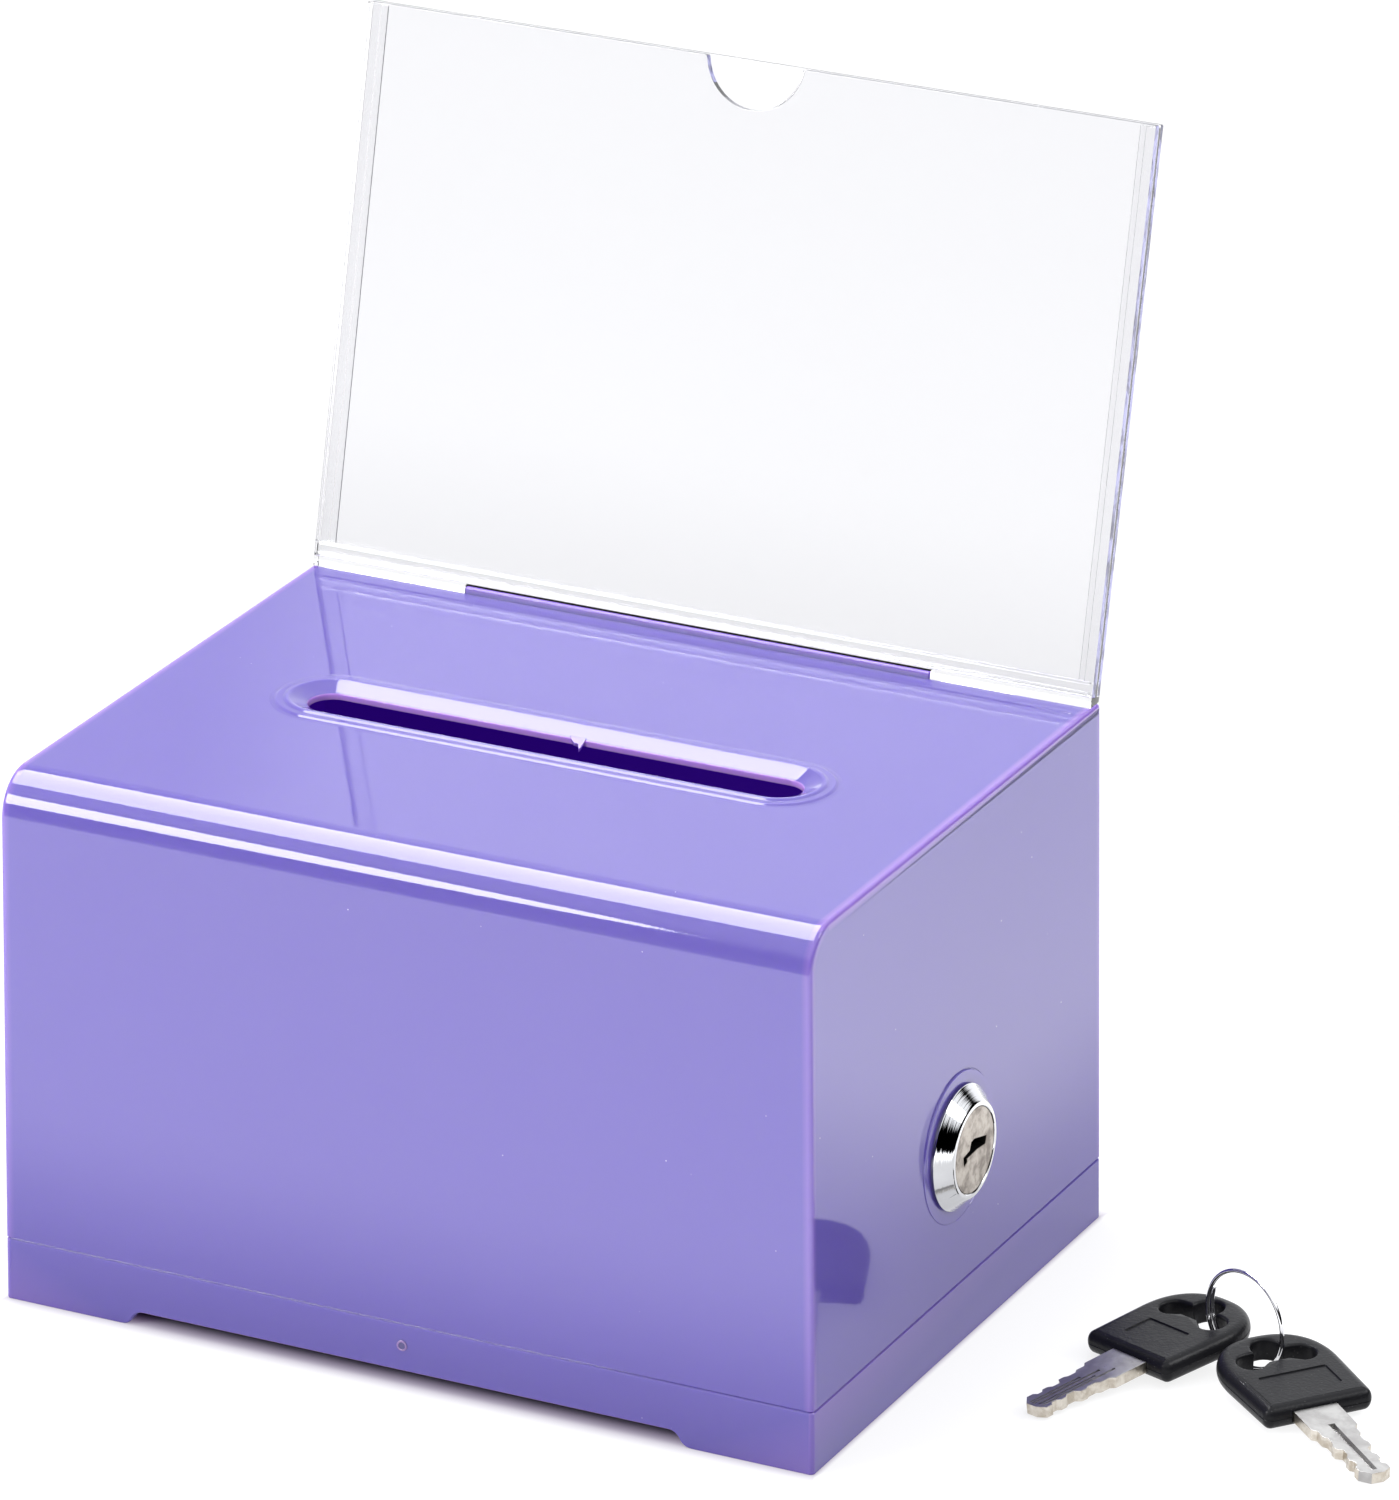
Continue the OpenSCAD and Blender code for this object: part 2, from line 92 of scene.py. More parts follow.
# Lock
LOCK_Y, LOCK_Z = -0.8, 38.0
SEAT_X = HALF_W - DRAFT * 23
PAD_R, PAD_T, SEAT_GAP = 13.8, 2.5, 0.05
FLANGE_R, FLANGE_H, FLANGE_TOP_R = 11.4, 3.2, 8.65
BARREL_R, BARREL_FLAT, BARREL_L = 9.5, 8.0, 16.0
LOCK_BACK = SEAT_X - BARREL_L
PLUG_HEAD_R, PLUG_HEAD_L, PLUG_R = 7.8, 2.05, 6.4
PLUG_SEAT = SEAT_X + FLANGE_H - PLUG_HEAD_L
RUN_GAP = 0.06
WASHER_R, WASHER_T, NUT_T, NUT_ACROSS = 12.2, 1.0, 4.0, 23.0
THREAD_PITCH, THREAD_DEPTH = 1.0, 0.42
DRIVE, STOP_T, CAM_T = 3.5, 0.7, 2.0
CAM_W, CAM_HUB, CAM_REACH = 6.0, 8.0, 24.0
# Where the cam starts, along the axis of the lock
CAM_LOW = LOCK_BACK - STOP_T - CAM_T - RUN_GAP
KEYWAY = [(-1.4, 2.1), (0, 2.2), (4.8, 0.9), (4.3, -0.5), (1.2, -0.2), (-3, -0.4),
          (-2.9, -1.1), (-4.3, -1.5), (-4.5, 0.3), (-2, 0.7)]

# Keys and ring
KEY_PLACES = {
    "key_a": ((110.6, 1, 3.15), (3.2, 4.4, -112.9), 1),
    "key_b": ((149.3, -2.6, 3), (-0.6, 4.4, -37.8), -1),
}
BOW_L, BOW_W, BOW_END, BOW_CORNER = 25.3, 11.0, 11.4, 1.6
BLADE_T, BLADE_L, BLADE_ROOT = 2.1, 23.6, 9.0
BLADE_OFF, BLADE_SKEW = 1.1, radians(1.8)
# Grooves: side, across from and to, along from and to, depth
GROOVES = {
    1: [(1, 1.5, 1.9, 5, BLADE_L - 1.2, 0.4), (1, 0.8, 1.1, 9, BLADE_L - 1.0, 0.45),
        (1, -0.2, 0.15, 7, BLADE_L - 0.6, 0.5), (1, -0.95, -0.6, 11, BLADE_L - 0.6, 0.5),
        (-1, -0.9, 0.1, 3, BLADE_L - 3, 0.5)],
    -1: [(1, -0.5, 0.4, 6, BLADE_L - 1.2, 0.75), (-1, 0.2, 1.1, 3, BLADE_L - 3, 0.5)],
}
SPLIT_AT, SPLIT_TURN = (128.3, 12.1, 9.54), -20.9
SPLIT_R, WIRE_R, COIL_STEP = 9.1, 0.4, 1.1

# Room light, where 1 is white paper in the picture: low and high in front, left and right behind
WORLD_FRONT, WORLD_BACK = (0.4, 1.9), (1.1, 1.65)


# -------- outlines

def arc(centre, radius, start, end, steps):
    """Points along an arc, from start to end in degrees."""
    turns = [radians(start + (end - start) * i / steps) for i in range(steps + 1)]
    return [Vector((centre[0] + radius * cos(a), centre[1] + radius * sin(a))) for a in turns]


def inset(outline, amount):
    """Moves a closed counter-clockwise outline inwards."""
    outline = [Vector(p) for p in outline]
    moved = []
    for i, p in enumerate(outline):
        before = (p - outline[i - 1]).normalized()
        after = (outline[(i + 1) % len(outline)] - p).normalized()
        left = Vector((-before.y, before.x))
        middle = (left + Vector((-after.y, after.x))).normalized()
        moved.append(p + middle * amount / max(0.4, middle.dot(left)))
    return moved


def mirrored(outline):
    """The outline's image across X = 0, in reverse."""
    return [(-x, y) for x, y in reversed(outline)]


def edge_steps(low, high, radius, steps=3):
    """(inset, height) pairs up a wall whose two edges are rounded."""
    turns = [pi / 2 * i / steps for i in range(steps + 1)]
    rounded = [(radius * (1 - sin(a)), radius * (1 - cos(a))) for a in turns]
    return [(i, low + z) for i, z in rounded] + [(i, high - z) for i, z in reversed(rounded)]


def rectangle(x0, x1, y0, y1, radius=0.0, steps=4):
    if radius <= 0:
        return [(x0, y0), (x1, y0), (x1, y1), (x0, y1)]
    corners = [(x1 - radius, y0 + radius, -90), (x1 - radius, y1 - radius, 0),
               (x0 + radius, y1 - radius, 90), (x0 + radius, y0 + radius, 180)]
    return [p for x, y, a in corners for p in arc((x, y), radius, a, a + 90, steps)]


def circle(radius, steps=96):
    return arc((0, 0), radius, 0, 360 - 360 / steps, steps - 1)


def flatted(radius, flat):
    """A circle with two flats, drawn as one loop."""
    return [(max(-flat, min(flat, x)), y) for x, y in circle(radius)]


# -------- mesh making

def add_loop(bm, coordinates):
    return [bm.verts.new(c) for c in coordinates]


def bridge(bm, lower, upper):
    """Quads between two closed loops with as many points each."""
    for corners in zip(lower, lower[1:] + lower[:1], upper[1:] + upper[:1], upper):
        bm.faces.new(corners)


def chain(bm, loops):
    for lower, upper in zip(loops, loops[1:]):
        bridge(bm, lower, upper)


def fill(bm, edges):
    bmesh.ops.triangle_fill(bm, use_beauty=True, use_dissolve=False, edges=edges)


def loop_edges(bm, loop):
    pairs = zip(loop, loop[1:] + loop[:1])
    return [bm.edges.get(pair) or bm.edges.new(pair) for pair in pairs]


def cap(bm, *loops):
    """Closes a flat region bounded by one loop, or by one loop with others inside it."""
    if len(loops) == 1:
        bm.faces.new(loops[0])
    else:
        fill(bm, [e for loop in loops for e in loop_edges(bm, loop)])


def solid_chain(bm, loops):
    """A run of quads closed by a flat face at each end."""
    chain(bm, loops)
    cap(bm, loops[0])
    cap(bm, loops[-1])
    return bm


def prism(outline, steps, holes=(), hole_steps=None):
    """A solid from an outline in X and Y and (inset, height) steps along Z, with holes."""
    bm = bmesh.new()

    def wall(shape, profile, sign):
        rings = [add_loop(bm, [(p.x, p.y, z) for p in inset(shape, sign * amount)])
                 for amount, z in profile]
        chain(bm, rings)
        return rings[0], rings[-1]

    ends = [wall(outline, steps, 1)]
    ends += [wall(hole, hole_steps or steps, -1) for hole in holes]
    cap(bm, *[low for low, high in ends])
    cap(bm, *[high for low, high in ends])
    return bm


def turned(bm, profile, segments):
    """The rings of a shape turned about Z from (radius, height) points."""
    return [add_loop(bm, [(p.x, p.y, z) for p in circle(radius, segments)]) for radius, z in profile]


def lathe(profile, segments):
    """A solid turned about Z, from the profile of its side to its flat ends."""
    bm = bmesh.new()
    rings = turned(bm, profile, segments)
    chain(bm, rings)
    for i, z in ((0, profile[0][1]), (-1, profile[-1][1])):
        middle = bm.verts.new((0, 0, z))
        for a, b in zip(rings[i], rings[i][1:] + rings[i][:1]):
            bm.faces.new((middle, a, b))
    return bm


def ring_lathe(profile, segments):
    """A solid turned about Z from a closed loop of (radius, height) points."""
    bm = bmesh.new()
    rings = turned(bm, profile, segments)
    chain(bm, rings[-1:] + rings)
    return bm


def tube(path, radius, sides=16):
    """A round wire along a path, with domed ends."""
    bm = bmesh.new()
    last = len(path) - 1
    tangents = [(path[min(i + 1, last)] - path[max(i - 1, 0)]).normalized() for i in range(last + 1)]
    dome = [(radius * 0.7 * sin(a), radius * cos(a)) for a in (pi / 8 * i for i in (1, 2, 3))]
    stations = [(path[0] - tangents[0] * past, tangents[0], size) for past, size in reversed(dome)]
    stations += [(centre, tangent, radius) for centre, tangent in zip(path, tangents)]
    stations += [(path[last] + tangents[last] * past, tangents[last], size) for past, size in dome]
    across = tangents[0].orthogonal().normalized()
    turns = [2 * pi * i / sides for i in range(sides)]
    rings = []
    for centre, tangent, size in stations:
        across = (across - tangent * across.dot(tangent)).normalized()
        up = tangent.cross(across)
        rings.append(add_loop(bm, [centre + (across * cos(a) + up * sin(a)) * size for a in turns]))
    return solid_chain(bm, rings)


def merge(*parts):
    """Joins several meshes into the first."""
    scratch = bpy.data.meshes.new("scratch")
    for part in parts[1:]:
        part.to_mesh(scratch)
        parts[0].from_mesh(scratch)
        part.free()
    bpy.data.meshes.remove(scratch)
    return parts[0]


def tidy(bm):
    bmesh.ops.remove_doubles(bm, verts=bm.verts, dist=1e-4)
    bmesh.ops.recalc_face_normals(bm, faces=bm.faces)
    return bm


def new_mesh(name, bm):
    mesh = bpy.data.meshes.new(name)
    bm.to_mesh(mesh)
    bm.free()
    return mesh


def new_object(name, data):
    obj = bpy.data.objects.new(name, data)
    bpy.context.collection.objects.link(obj)
    return obj


def combine(bm, tool, operation="DIFFERENCE"):
    """The two solids' difference or union."""
    base, cutter = [new_object("scratch", new_mesh("scratch", tidy(solid))) for solid in (bm, tool)]
    cut = base.modifiers.new("cut", "BOOLEAN")
    cut.operation, cut.solver, cut.object = operation, "MANIFOLD", cutter
    shaped = base.evaluated_get(bpy.context.evaluated_depsgraph_get()).to_mesh()
    result = bmesh.new()
    result.from_mesh(shaped)
    for obj in (base, cutter):
        mesh = obj.data
        bpy.data.objects.remove(obj)
        bpy.data.meshes.remove(mesh)
    return tidy(result)


def paint_faces(bm, paint):
    """Gives each face the material whose place in the list paint returns."""
    bm.normal_update()
    for face in bm.faces:
        face.material_index = paint(face)


def piece(name, bm, body, materials, replaces, sharp=38, painted_glow=None, paint=None):
    """Makes the object: metres, smooth shading with even normals, body and materials, and hides the frame's
    parts that it replaces.
    painted_glow gives each vertex the amount of painted glow, for light that comes through it."""
    tidy(bm)
    if painted_glow:
        layer = bm.verts.layers.float.new("painted_glow")
        for v in bm.verts:
            v[layer] = painted_glow(v.co)
    if paint:
        paint_faces(bm, paint)
    bm.transform(Matrix.Scale(MM, 4))
    mesh = new_mesh(name, bm)
    mesh.polygons.foreach_set("use_smooth", [True] * len(mesh.polygons))
    mesh.set_sharp_from_angle(angle=radians(sharp))
    for material in materials:
        mesh.materials.append(material)
    obj = new_object(name, mesh)
    even = obj.modifiers.new("even_normals", "WEIGHTED_NORMAL")
    even.keep_sharp = True
    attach(obj, body)
    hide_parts(*replaces)


# Shapes drawn in Y and Z, with their height along X
ALONG_X = Matrix(((0, 0, 1, 0), (1, 0, 0, 0), (0, 1, 0, 0), (0, 0, 0, 1)))
# Shapes drawn in X and Z, with their height along Y
ALONG_Y = Matrix(((1, 0, 0, 0), (0, 0, 1, 0), (0, 1, 0, 0), (0, 0, 0, 1)))
# Turns local Z to the lock's axis, which points out of the right wall
AT_LOCK = Matrix.Translation((0, LOCK_Y, LOCK_Z)) @ Matrix.Rotation(pi / 2, 4, "Y")
# The slope: shapes drawn in X and along the slope, with their height through the sheets
AT_SLOPE = Matrix.Translation((0, FOOT_Y, BOX_H)) @ Matrix.Rotation(-SIGN_LEAN, 4, "X") @ ALONG_Y
# Sections drawn through the sheets and up the slope, with their height along X
ACROSS_SLOPE = AT_SLOPE @ Matrix(((0, 0, 1, 0), (0, 1, 0, 0), (1, 0, 0, 0), (0, 0, 0, 1)))


def placed(bm, matrix):
    bm.transform(matrix)
    return bm


# -------- materials

# A mask's two colours
OFF, ON = (0, 0, 0), (1, 1, 1)


class Nodes:
    """A small helper that adds nodes and links to one node tree."""

    def __init__(self, tree):
        self.tree = tree

    def feed(self, socket, value):
        """Links the socket to another node's output, or sets it to a constant."""
        if isinstance(value, bpy.types.NodeSocket):
            self.tree.links.new(value, socket)
        else:
            socket.default_value = (*value, 1) if socket.type == "RGBA" else value

    def add(self, kind, inputs=None, **settings):
        node = self.tree.nodes.new("ShaderNode" + kind)
        for key, value in settings.items():
            setattr(node, key, value)
        for key, value in (inputs or {}).items():
            self.feed(node.inputs[key], value)
        return node

    def maths(self, operation, *values):
        return self.add("Math", dict(enumerate(values)), operation=operation).outputs["Value"]

    def smooth(self, source, start, end, low=0.0, high=1.0):
        """Goes smoothly from low to high while the source goes from start to end."""
        ends = {"From Min": start, "From Max": end, "To Min": low, "To Max": high}
        node = self.add("MapRange", {"Value": source, **ends}, interpolation_type="SMOOTHSTEP")
        return node.outputs["Result"]


class Shader(Nodes):
    """One material's nodes. Its patterns follow the object's own coordinates."""

    def __init__(self, name):
        self.material = bpy.data.materials.new(name)
        self.material.use_nodes = True
        super().__init__(self.material.node_tree)
        self.surface = self.tree.nodes["Principled BSDF"]
        self.place = self.add("TexCoord").outputs["Object"]

    def set(self, **inputs):
        for key, value in inputs.items():
            self.feed(self.surface.inputs[key.replace("_", " ")], value)

    def axes(self):
        return self.add("SeparateXYZ", {0: self.place}).outputs

    def noise(self, scale, detail=2.0, stretch=(1, 1, 1), **look):
        place = self.add("Mapping", {"Scale": stretch, "Vector": self.place}).outputs["Vector"]
        inputs = {"Vector": place, "Scale": scale, "Detail": detail, **look}
        return self.add("TexNoise", inputs).outputs["Fac"]

    def ramp(self, factor, start, end, low, high):
        """Goes evenly from one colour to another."""
        node = self.add("ValToRGB", {"Fac": factor})
        for element, position, colour in zip(node.color_ramp.elements, (start, end), (low, high)):
            element.position = position
            element.color = (*colour, 1)
        return node.outputs["Color"]

    def specks(self, scale, size):
        """A mask of sparse dots."""
        node = self.add("TexVoronoi", {"Scale": scale, "Vector": self.place})
        return self.ramp(node.outputs["Distance"], size * 0.6, size, ON, OFF)

    def span(self, factor, low, high):
        node = self.add("MapRange", {"To Min": low, "To Max": high, "Value": factor})
        return node.outputs["Result"]

    def blend(self, factor, a, b):
        node = self.add("Mix", data_type="RGBA")
        self.feed(node.inputs["Factor"], factor)
        for name, value in (("A", a), ("B", b)):
            self.feed(next(s for s in node.inputs if s.name == name and s.type == "RGBA"), value)
        return next(s for s in node.outputs if s.type == "RGBA")

    def bump(self, height, distance, strength, under=None):
        """Normals over the height, and over another bump where one is given."""
        node = self.add("Bump", {"Distance": distance, "Strength": strength, "Height": height})
        if under:
            self.feed(node.inputs["Normal"], under)
        return node.outputs["Normal"]


def violet_plastic(name, low, high, through=0.0):
    """Glossy injection-moulded plastic: slow ripples, a little dust, painted glow that lightens the colour
    where the painted_glow attribute is set, and through, an emission of painted glow for a little light come
    through the wall."""
    s = Shader(name)
    painted_glow = s.add("Attribute", attribute_name="painted_glow").outputs["Fac"]
    # Painted glow: the colour turns pale violet where the painted_glow attribute is set
    base = s.blend(painted_glow, s.blend(s.noise(9, detail=3), low, high), (0.34, 0.19, 0.50))
    dust = s.maths("MULTIPLY", s.specks(300, 0.045), s.ramp(s.noise(45), 0.6, 0.66, OFF, ON))
    base = s.blend(s.maths("MULTIPLY", dust, 0.35), base, (0.75, 0.72, 0.9))
    ripple = s.bump(s.noise(28, detail=1), 0.0004, 0.12)
    # The emission, set by through, is painted glow standing in for light come through the wall
    s.set(Base_Color=base, Roughness=s.span(s.noise(60, detail=4), 0.02, 0.055), IOR=1.5,
          Subsurface_Weight=0.6, Subsurface_Scale=0.002, Subsurface_Radius=(0.9, 0.6, 1.6),
          Emission_Color=(0.13, 0.004, 0.90), Emission_Strength=through,
          Normal=s.bump(s.noise(900, detail=2), 0.00001, 0.4, ripple))
    return s.material


def clear_plastic(name, colour, rough, streak=0.0):
    """Clear acrylic that lets lamps through, with faint clouds, or with streaks of saw marks."""
    s = Shader(name)
    s.set(IOR=1.49, Transmission_Weight=0.2 if streak else 1.0, Roughness=rough)
    if streak:
        marks = s.noise(420, detail=4, stretch=(1, 1, 0.45), Roughness=0.7)
        dark = [c * (1 - streak) for c in colour]
        s.set(Base_Color=s.ramp(marks, 0.42, 0.56, dark, colour), Normal=s.bump(marks, 0.0006, 0.8))
    else:
        pale = [min(1, c * 1.012) for c in colour]
        s.set(Base_Color=s.blend(s.noise(6), colour, pale),
              Normal=s.bump(s.noise(14, detail=1), 0.0003, 0.05))
    clear = s.add("BsdfTransparent", {"Color": (0.95, 0.95, 0.97)}).outputs["BSDF"]
    shadow = s.add("LightPath").outputs["Is Shadow Ray"]
    mix = s.add("MixShader", {0: shadow, 1: s.surface.outputs["BSDF"], 2: clear})
    s.feed(s.tree.nodes["Material Output"].inputs["Surface"], mix.outputs["Shader"])
    return s.material


def bright_metal(name, low, high, rough, mottle, grain=(0.00002, 0.5), grain_scale=700, marks=None):
    """Metal whose colour and roughness wander between two values, over a fine grain or marks."""
    s = Shader(name)
    cloud = s.smooth(s.noise(mottle, detail=5, Roughness=0.6, Distortion=0.3), 0.34, 0.66)
    height = marks(s) if marks else s.noise(grain_scale, detail=3)
    s.set(Metallic=1.0, Base_Color=s.blend(cloud, low, high), Normal=s.bump(height, *grain),
          Roughness=s.span(s.noise(mottle * 3, detail=4), *rough))
    return s.material


def turning_marks(s):
    """Fine marks that run round the lock's axis."""
    axes = s.axes()
    across = s.maths("SUBTRACT", axes["Y"], LOCK_Y * MM)
    up = s.maths("SUBTRACT", axes["Z"], LOCK_Z * MM)
    radius = s.maths("SQRT", s.maths("ADD", *[s.maths("MULTIPLY", way, way) for way in (across, up)]))
    look = {"Scale": 3200, "Detail": 3, "W": radius}
    return s.add("TexNoise", look, noise_dimensions="1D").outputs["Fac"]


def black_plastic():
    """Satin black moulding with a fine spark texture."""
    s = Shader("black_plastic")
    base = s.blend(s.noise(70, detail=4), (0.004, 0.004, 0.005), (0.011, 0.011, 0.013))
    dust = s.maths("MULTIPLY", s.specks(900, 0.10), 0.25)
    s.set(Base_Color=s.blend(dust, base, (0.2, 0.2, 0.2)), Specular_IOR_Level=0.14,
          Roughness=s.span(s.noise(400, detail=4), 0.24, 0.40),
          Normal=s.bump(s.noise(1500, detail=3), 0.00009, 0.6))
    return s.material


VIOLET = violet_plastic("violet_plastic", (0.090, 0.069, 0.278), (0.099, 0.077, 0.300))
# A painted-shade copy of the violet, darker and bluer for faces inside the box where little light reaches,
# with painted glow as emission
VIOLET_SHADE_AND_GLOW = violet_plastic("violet_painted_shade_and_glow", (0.062, 0.022, 0.270), (0.070, 0.026, 0.290), 0.10)
CLEAR = clear_plastic("clear_plastic", (0.959, 0.958, 0.965), 0.0)
# Saw-cut ends: the streaks are saw marks, while the dark violet-blue colour is painted shade and painted
# reflection of the violet box
CLEAR_CUT_PAINTED_SHADE = clear_plastic("clear_cut_painted_shade", (0.38, 0.38, 0.66), 0.25, 0.75)
# Painted shade: a dark grey for clear edges that look dark, the front sheet's top edge and the rails' steps
CLEAR_PAINTED_DARK = clear_plastic("clear_painted_dark", (0.16, 0.16, 0.18), 0.3, 0.2)
CHROME = bright_metal("ring_chrome", (0.66, 0.66, 0.68), (0.76, 0.76, 0.78), (0.04, 0.08), 90)
LOCK_CHROME = bright_metal("lock_chrome", (0.50, 0.505, 0.52), (0.57, 0.575, 0.59), (0.03, 0.06), 60,
                           (0.00004, 0.6), marks=turning_marks)
PLUG_NICKEL = bright_metal("plug_nickel", (0.17, 0.145, 0.125), (0.40, 0.365, 0.325), (0.30, 0.52), 380,
                           (0.00009, 0.5), 1500)
# Painted shade: near-black metal for the keyway's deep walls, where little light reaches
KEYWAY_PAINTED_SHADE = bright_metal("keyway_painted_shade", (0.006, 0.006, 0.006), (0.02, 0.019, 0.018), (0.5, 0.7), 300)
BLADE_NICKEL = bright_metal("blade_nickel", (0.34, 0.33, 0.325), (0.47, 0.465, 0.455), (0.24, 0.36), 240,
                            (0.00004, 0.5), 900)
CUT_NICKEL = bright_metal("cut_nickel", (0.44, 0.39, 0.32), (0.68, 0.64, 0.57), (0.22, 0.4), 420,
                          (0.00016, 0.5), 800)
WAFER_BRASS = bright_metal("wafer_brass", (0.55, 0.38, 0.14), (0.68, 0.5, 0.22), (0.25, 0.4), 200)
PLATED_STEEL = bright_metal("plated_steel", (0.50, 0.50, 0.50), (0.64, 0.64, 0.63), (0.22, 0.4), 150)
SPRING_STEEL = bright_metal("spring_steel", (0.45, 0.45, 0.46), (0.6, 0.6, 0.6), (0.2, 0.3), 150)
BLACK = black_plastic()


# -------- shell

def side_profile(z0, z1, shrink, front_r, rear_r):
    """Points and outward normals in Y and Z, from the front's foot over the top to the back's,
    and the index of the point where the flat top starts."""
    lean = sqrt(1 + DRAFT * DRAFT)
    tilt = degrees(atan(DRAFT))
    front = Vector((-HALF_D + DRAFT * z0 + shrink, z0))
    outward = Vector((-1, DRAFT)).normalized()
    centre = Vector((-HALF_D + shrink + DRAFT * (z1 - front_r) + front_r * lean, z1 - front_r))
    profile = [(front, outward)]
    profile += [(p, (p - centre).normalized()) for p in arc(centre, front_r, 180 - tilt, 90, 28)]
    flat = len(profile) - 1
    centre = Vector((HALF_D - shrink - rear_r, z1 - rear_r))
    profile += [(p, (p - centre).normalized()) for p in arc(centre, rear_r, 90, 0, 6)]
    profile.append((Vector((HALF_D - shrink, z0)), Vector((1, 0))))
    return profile, flat


def skin(bm, z0, z1, shrink, front_r, rear_r, side_r):
    """An open-bottomed skin with rounded ends. Returns the loop round the flat top, and the two
    loops round the flat ends."""
    profile, flat = side_profile(z0, z1, shrink, front_r, rear_r)
    # each row's turn round the edge, and how far in along the profile's face or the end it lies
    steps = [(0, PAINTED_GLOW_MARGIN, 0)] + [(pi / 2 * i / 5, 0, 0) for i in range(6)]
    steps.append((pi / 2, 0, PAINTED_GLOW_MARGIN))
    rows = {}
    for side in (-1, 1):
        rows[side] = []
        for turn, on_face, on_end in steps:
            row = []
            for p, n in profile:
                q = p - n * (side_r * (1 - cos(turn)) + on_end)
                x = HALF_W - shrink - DRAFT * q.y - side_r * (1 - sin(turn)) - on_face
                row.append(bm.verts.new((side * x, q.x, q.y)))
            rows[side].append(row)
        for lower, upper in zip(rows[side], rows[side][1:]):
            for corners in zip(lower, lower[1:], upper[1:], upper):
                bm.faces.new(corners)
    left, right = rows[-1][0], rows[1][0]
    across = list(zip(left, left[1:], right[1:], right))
    top = across.pop(flat)
    for corners in across:
        bm.faces.new(corners)
    return top, rows[-1][-1], rows[1][-1]


def stadium(bm, radius, z):
    outline = arc((SLOT_RUN, 0), radius, -90, 90, 32) + arc((-SLOT_RUN, 0), radius, 90, 270, 32)
    return add_loop(bm, [(p.x, p.y, z) for p in outline])


def lock_loop(bm, shape, x, lean=0.0):
    """A loop on an upright or leaning face, drawn up and across from the lock's axis."""
    return add_loop(bm, [(x - lean * (LOCK_Z + up), LOCK_Y + across, LOCK_Z + up) for up, across in shape])


def slot_ring(bm, top, inner_top):
    """The raised ring round the slot, its bevel and the opening through the wall."""
    ring = [(11.1, 0), (10.95, 0.03), (10.75, 0.05), (10.4, 0.06), (10.25, 0.09), (9.95, 0.27),
            (9.8, 0.32), (9.6, 0.33), (8.75, 0.32), (8.6, 0.35), (8.3, 0.53), (8.15, 0.58),
            (7.9, 0.59), (7.6, 0.56), (7.35, 0.45), (7.2, 0.36), (4.72, -0.71), (4.5, -0.82),
            (4.36, -0.94), (SLOT_R, -1.1), (SLOT_R, -WALL)]
    loops = [stadium(bm, r, BOX_H + z) for r, z in ring]
    chain(bm, loops)
    cap(bm, top, loops[0])
    cap(bm, inner_top, loops[-1])


def lock_seat(bm, outer_end, inner_end):
    """The round seat on the right wall, with the flatted hole for the barrel."""
    groove, back = HALF_W - 0.09, SEAT_X - PAD_T
    hole = flatted(BARREL_R + SEAT_GAP, BARREL_FLAT + SEAT_GAP)
    seat = [lock_loop(bm, circle(PAD_R + 0.16), HALF_W, DRAFT),
            lock_loop(bm, circle(PAD_R + 0.08), groove, DRAFT),
            lock_loop(bm, circle(PAD_R - 0.02), groove, DRAFT), lock_loop(bm, circle(PAD_R - 0.12), SEAT_X)]
    holes = [lock_loop(bm, hole, SEAT_X), lock_loop(bm, hole, back)]
    pad = [lock_loop(bm, circle(PAD_R), back), lock_loop(bm, circle(PAD_R), HALF_W - WALL, DRAFT)]
    for loops in (seat, holes, pad):
        chain(bm, loops)
    for loops in ((outer_end, seat[0]), (seat[-1], holes[0]), (holes[-1], pad[0]), (pad[-1], inner_end)):
        cap(bm, *loops)


def hinge_curve(reach, start, end):
    """The round path about the hinge, between two distances in from it."""
    turns = [degrees(acos(inwards / reach)) for inwards in (start, end)]
    return arc((0, 0), reach, *turns, 6)


def hinge_side(outline, y, length):
    """A prism along Y at the hinge; its outline is drawn inwards from the left seam and up."""
    bm = prism(outline, [(0, y - length / 2), (0, y + length / 2)])
    return placed(bm, Matrix.Translation((-SEAM_X, 0, TRAY_H)) @ ALONG_Y)


def hinge_pocket(y):
    low = hinge_curve(HINGE_R - HINGE_GAP, POCKET_IN, POCKET_OUT)
    outline = [(POCKET_IN, POCKET_TOP)] + low + [(POCKET_OUT, POCKET_TOP)]
    return hinge_side(outline[::-1], y, TAB_W + 1)


def sign_bar():
    """The low rounded bar in front of the sign holder's foot."""
    outline = ([(0, -0.3), (BAR_D, -0.3)] + arc((BAR_D - 0.15, BAR_H - 0.15), 0.15, 0, 90, 3)
               + arc((0.5, BAR_H - 0.5), 0.5, 90, 180, 6))
    bm = prism(outline, edge_steps(-BAR_HALF, BAR_HALF, 0.25))
    return placed(bm, Matrix.Translation((0, FOOT_Y, BOX_H)) @ ALONG_X)


def sign_socket_boss():
    """The block under the top that the holder's tongue stands in, sunk a little into the walls."""
    sink, soft = 0.3, 0.4
    outline = rectangle(FOOT_Y - 3.2, HALF_D - WALL + sink, BOX_H - TONGUE_L - 1.5, BOX_H - WALL + sink, soft)
    return placed(prism(outline, edge_steps(-TONGUE_HALF - WALL, TONGUE_HALF + WALL, soft)), ALONG_X)


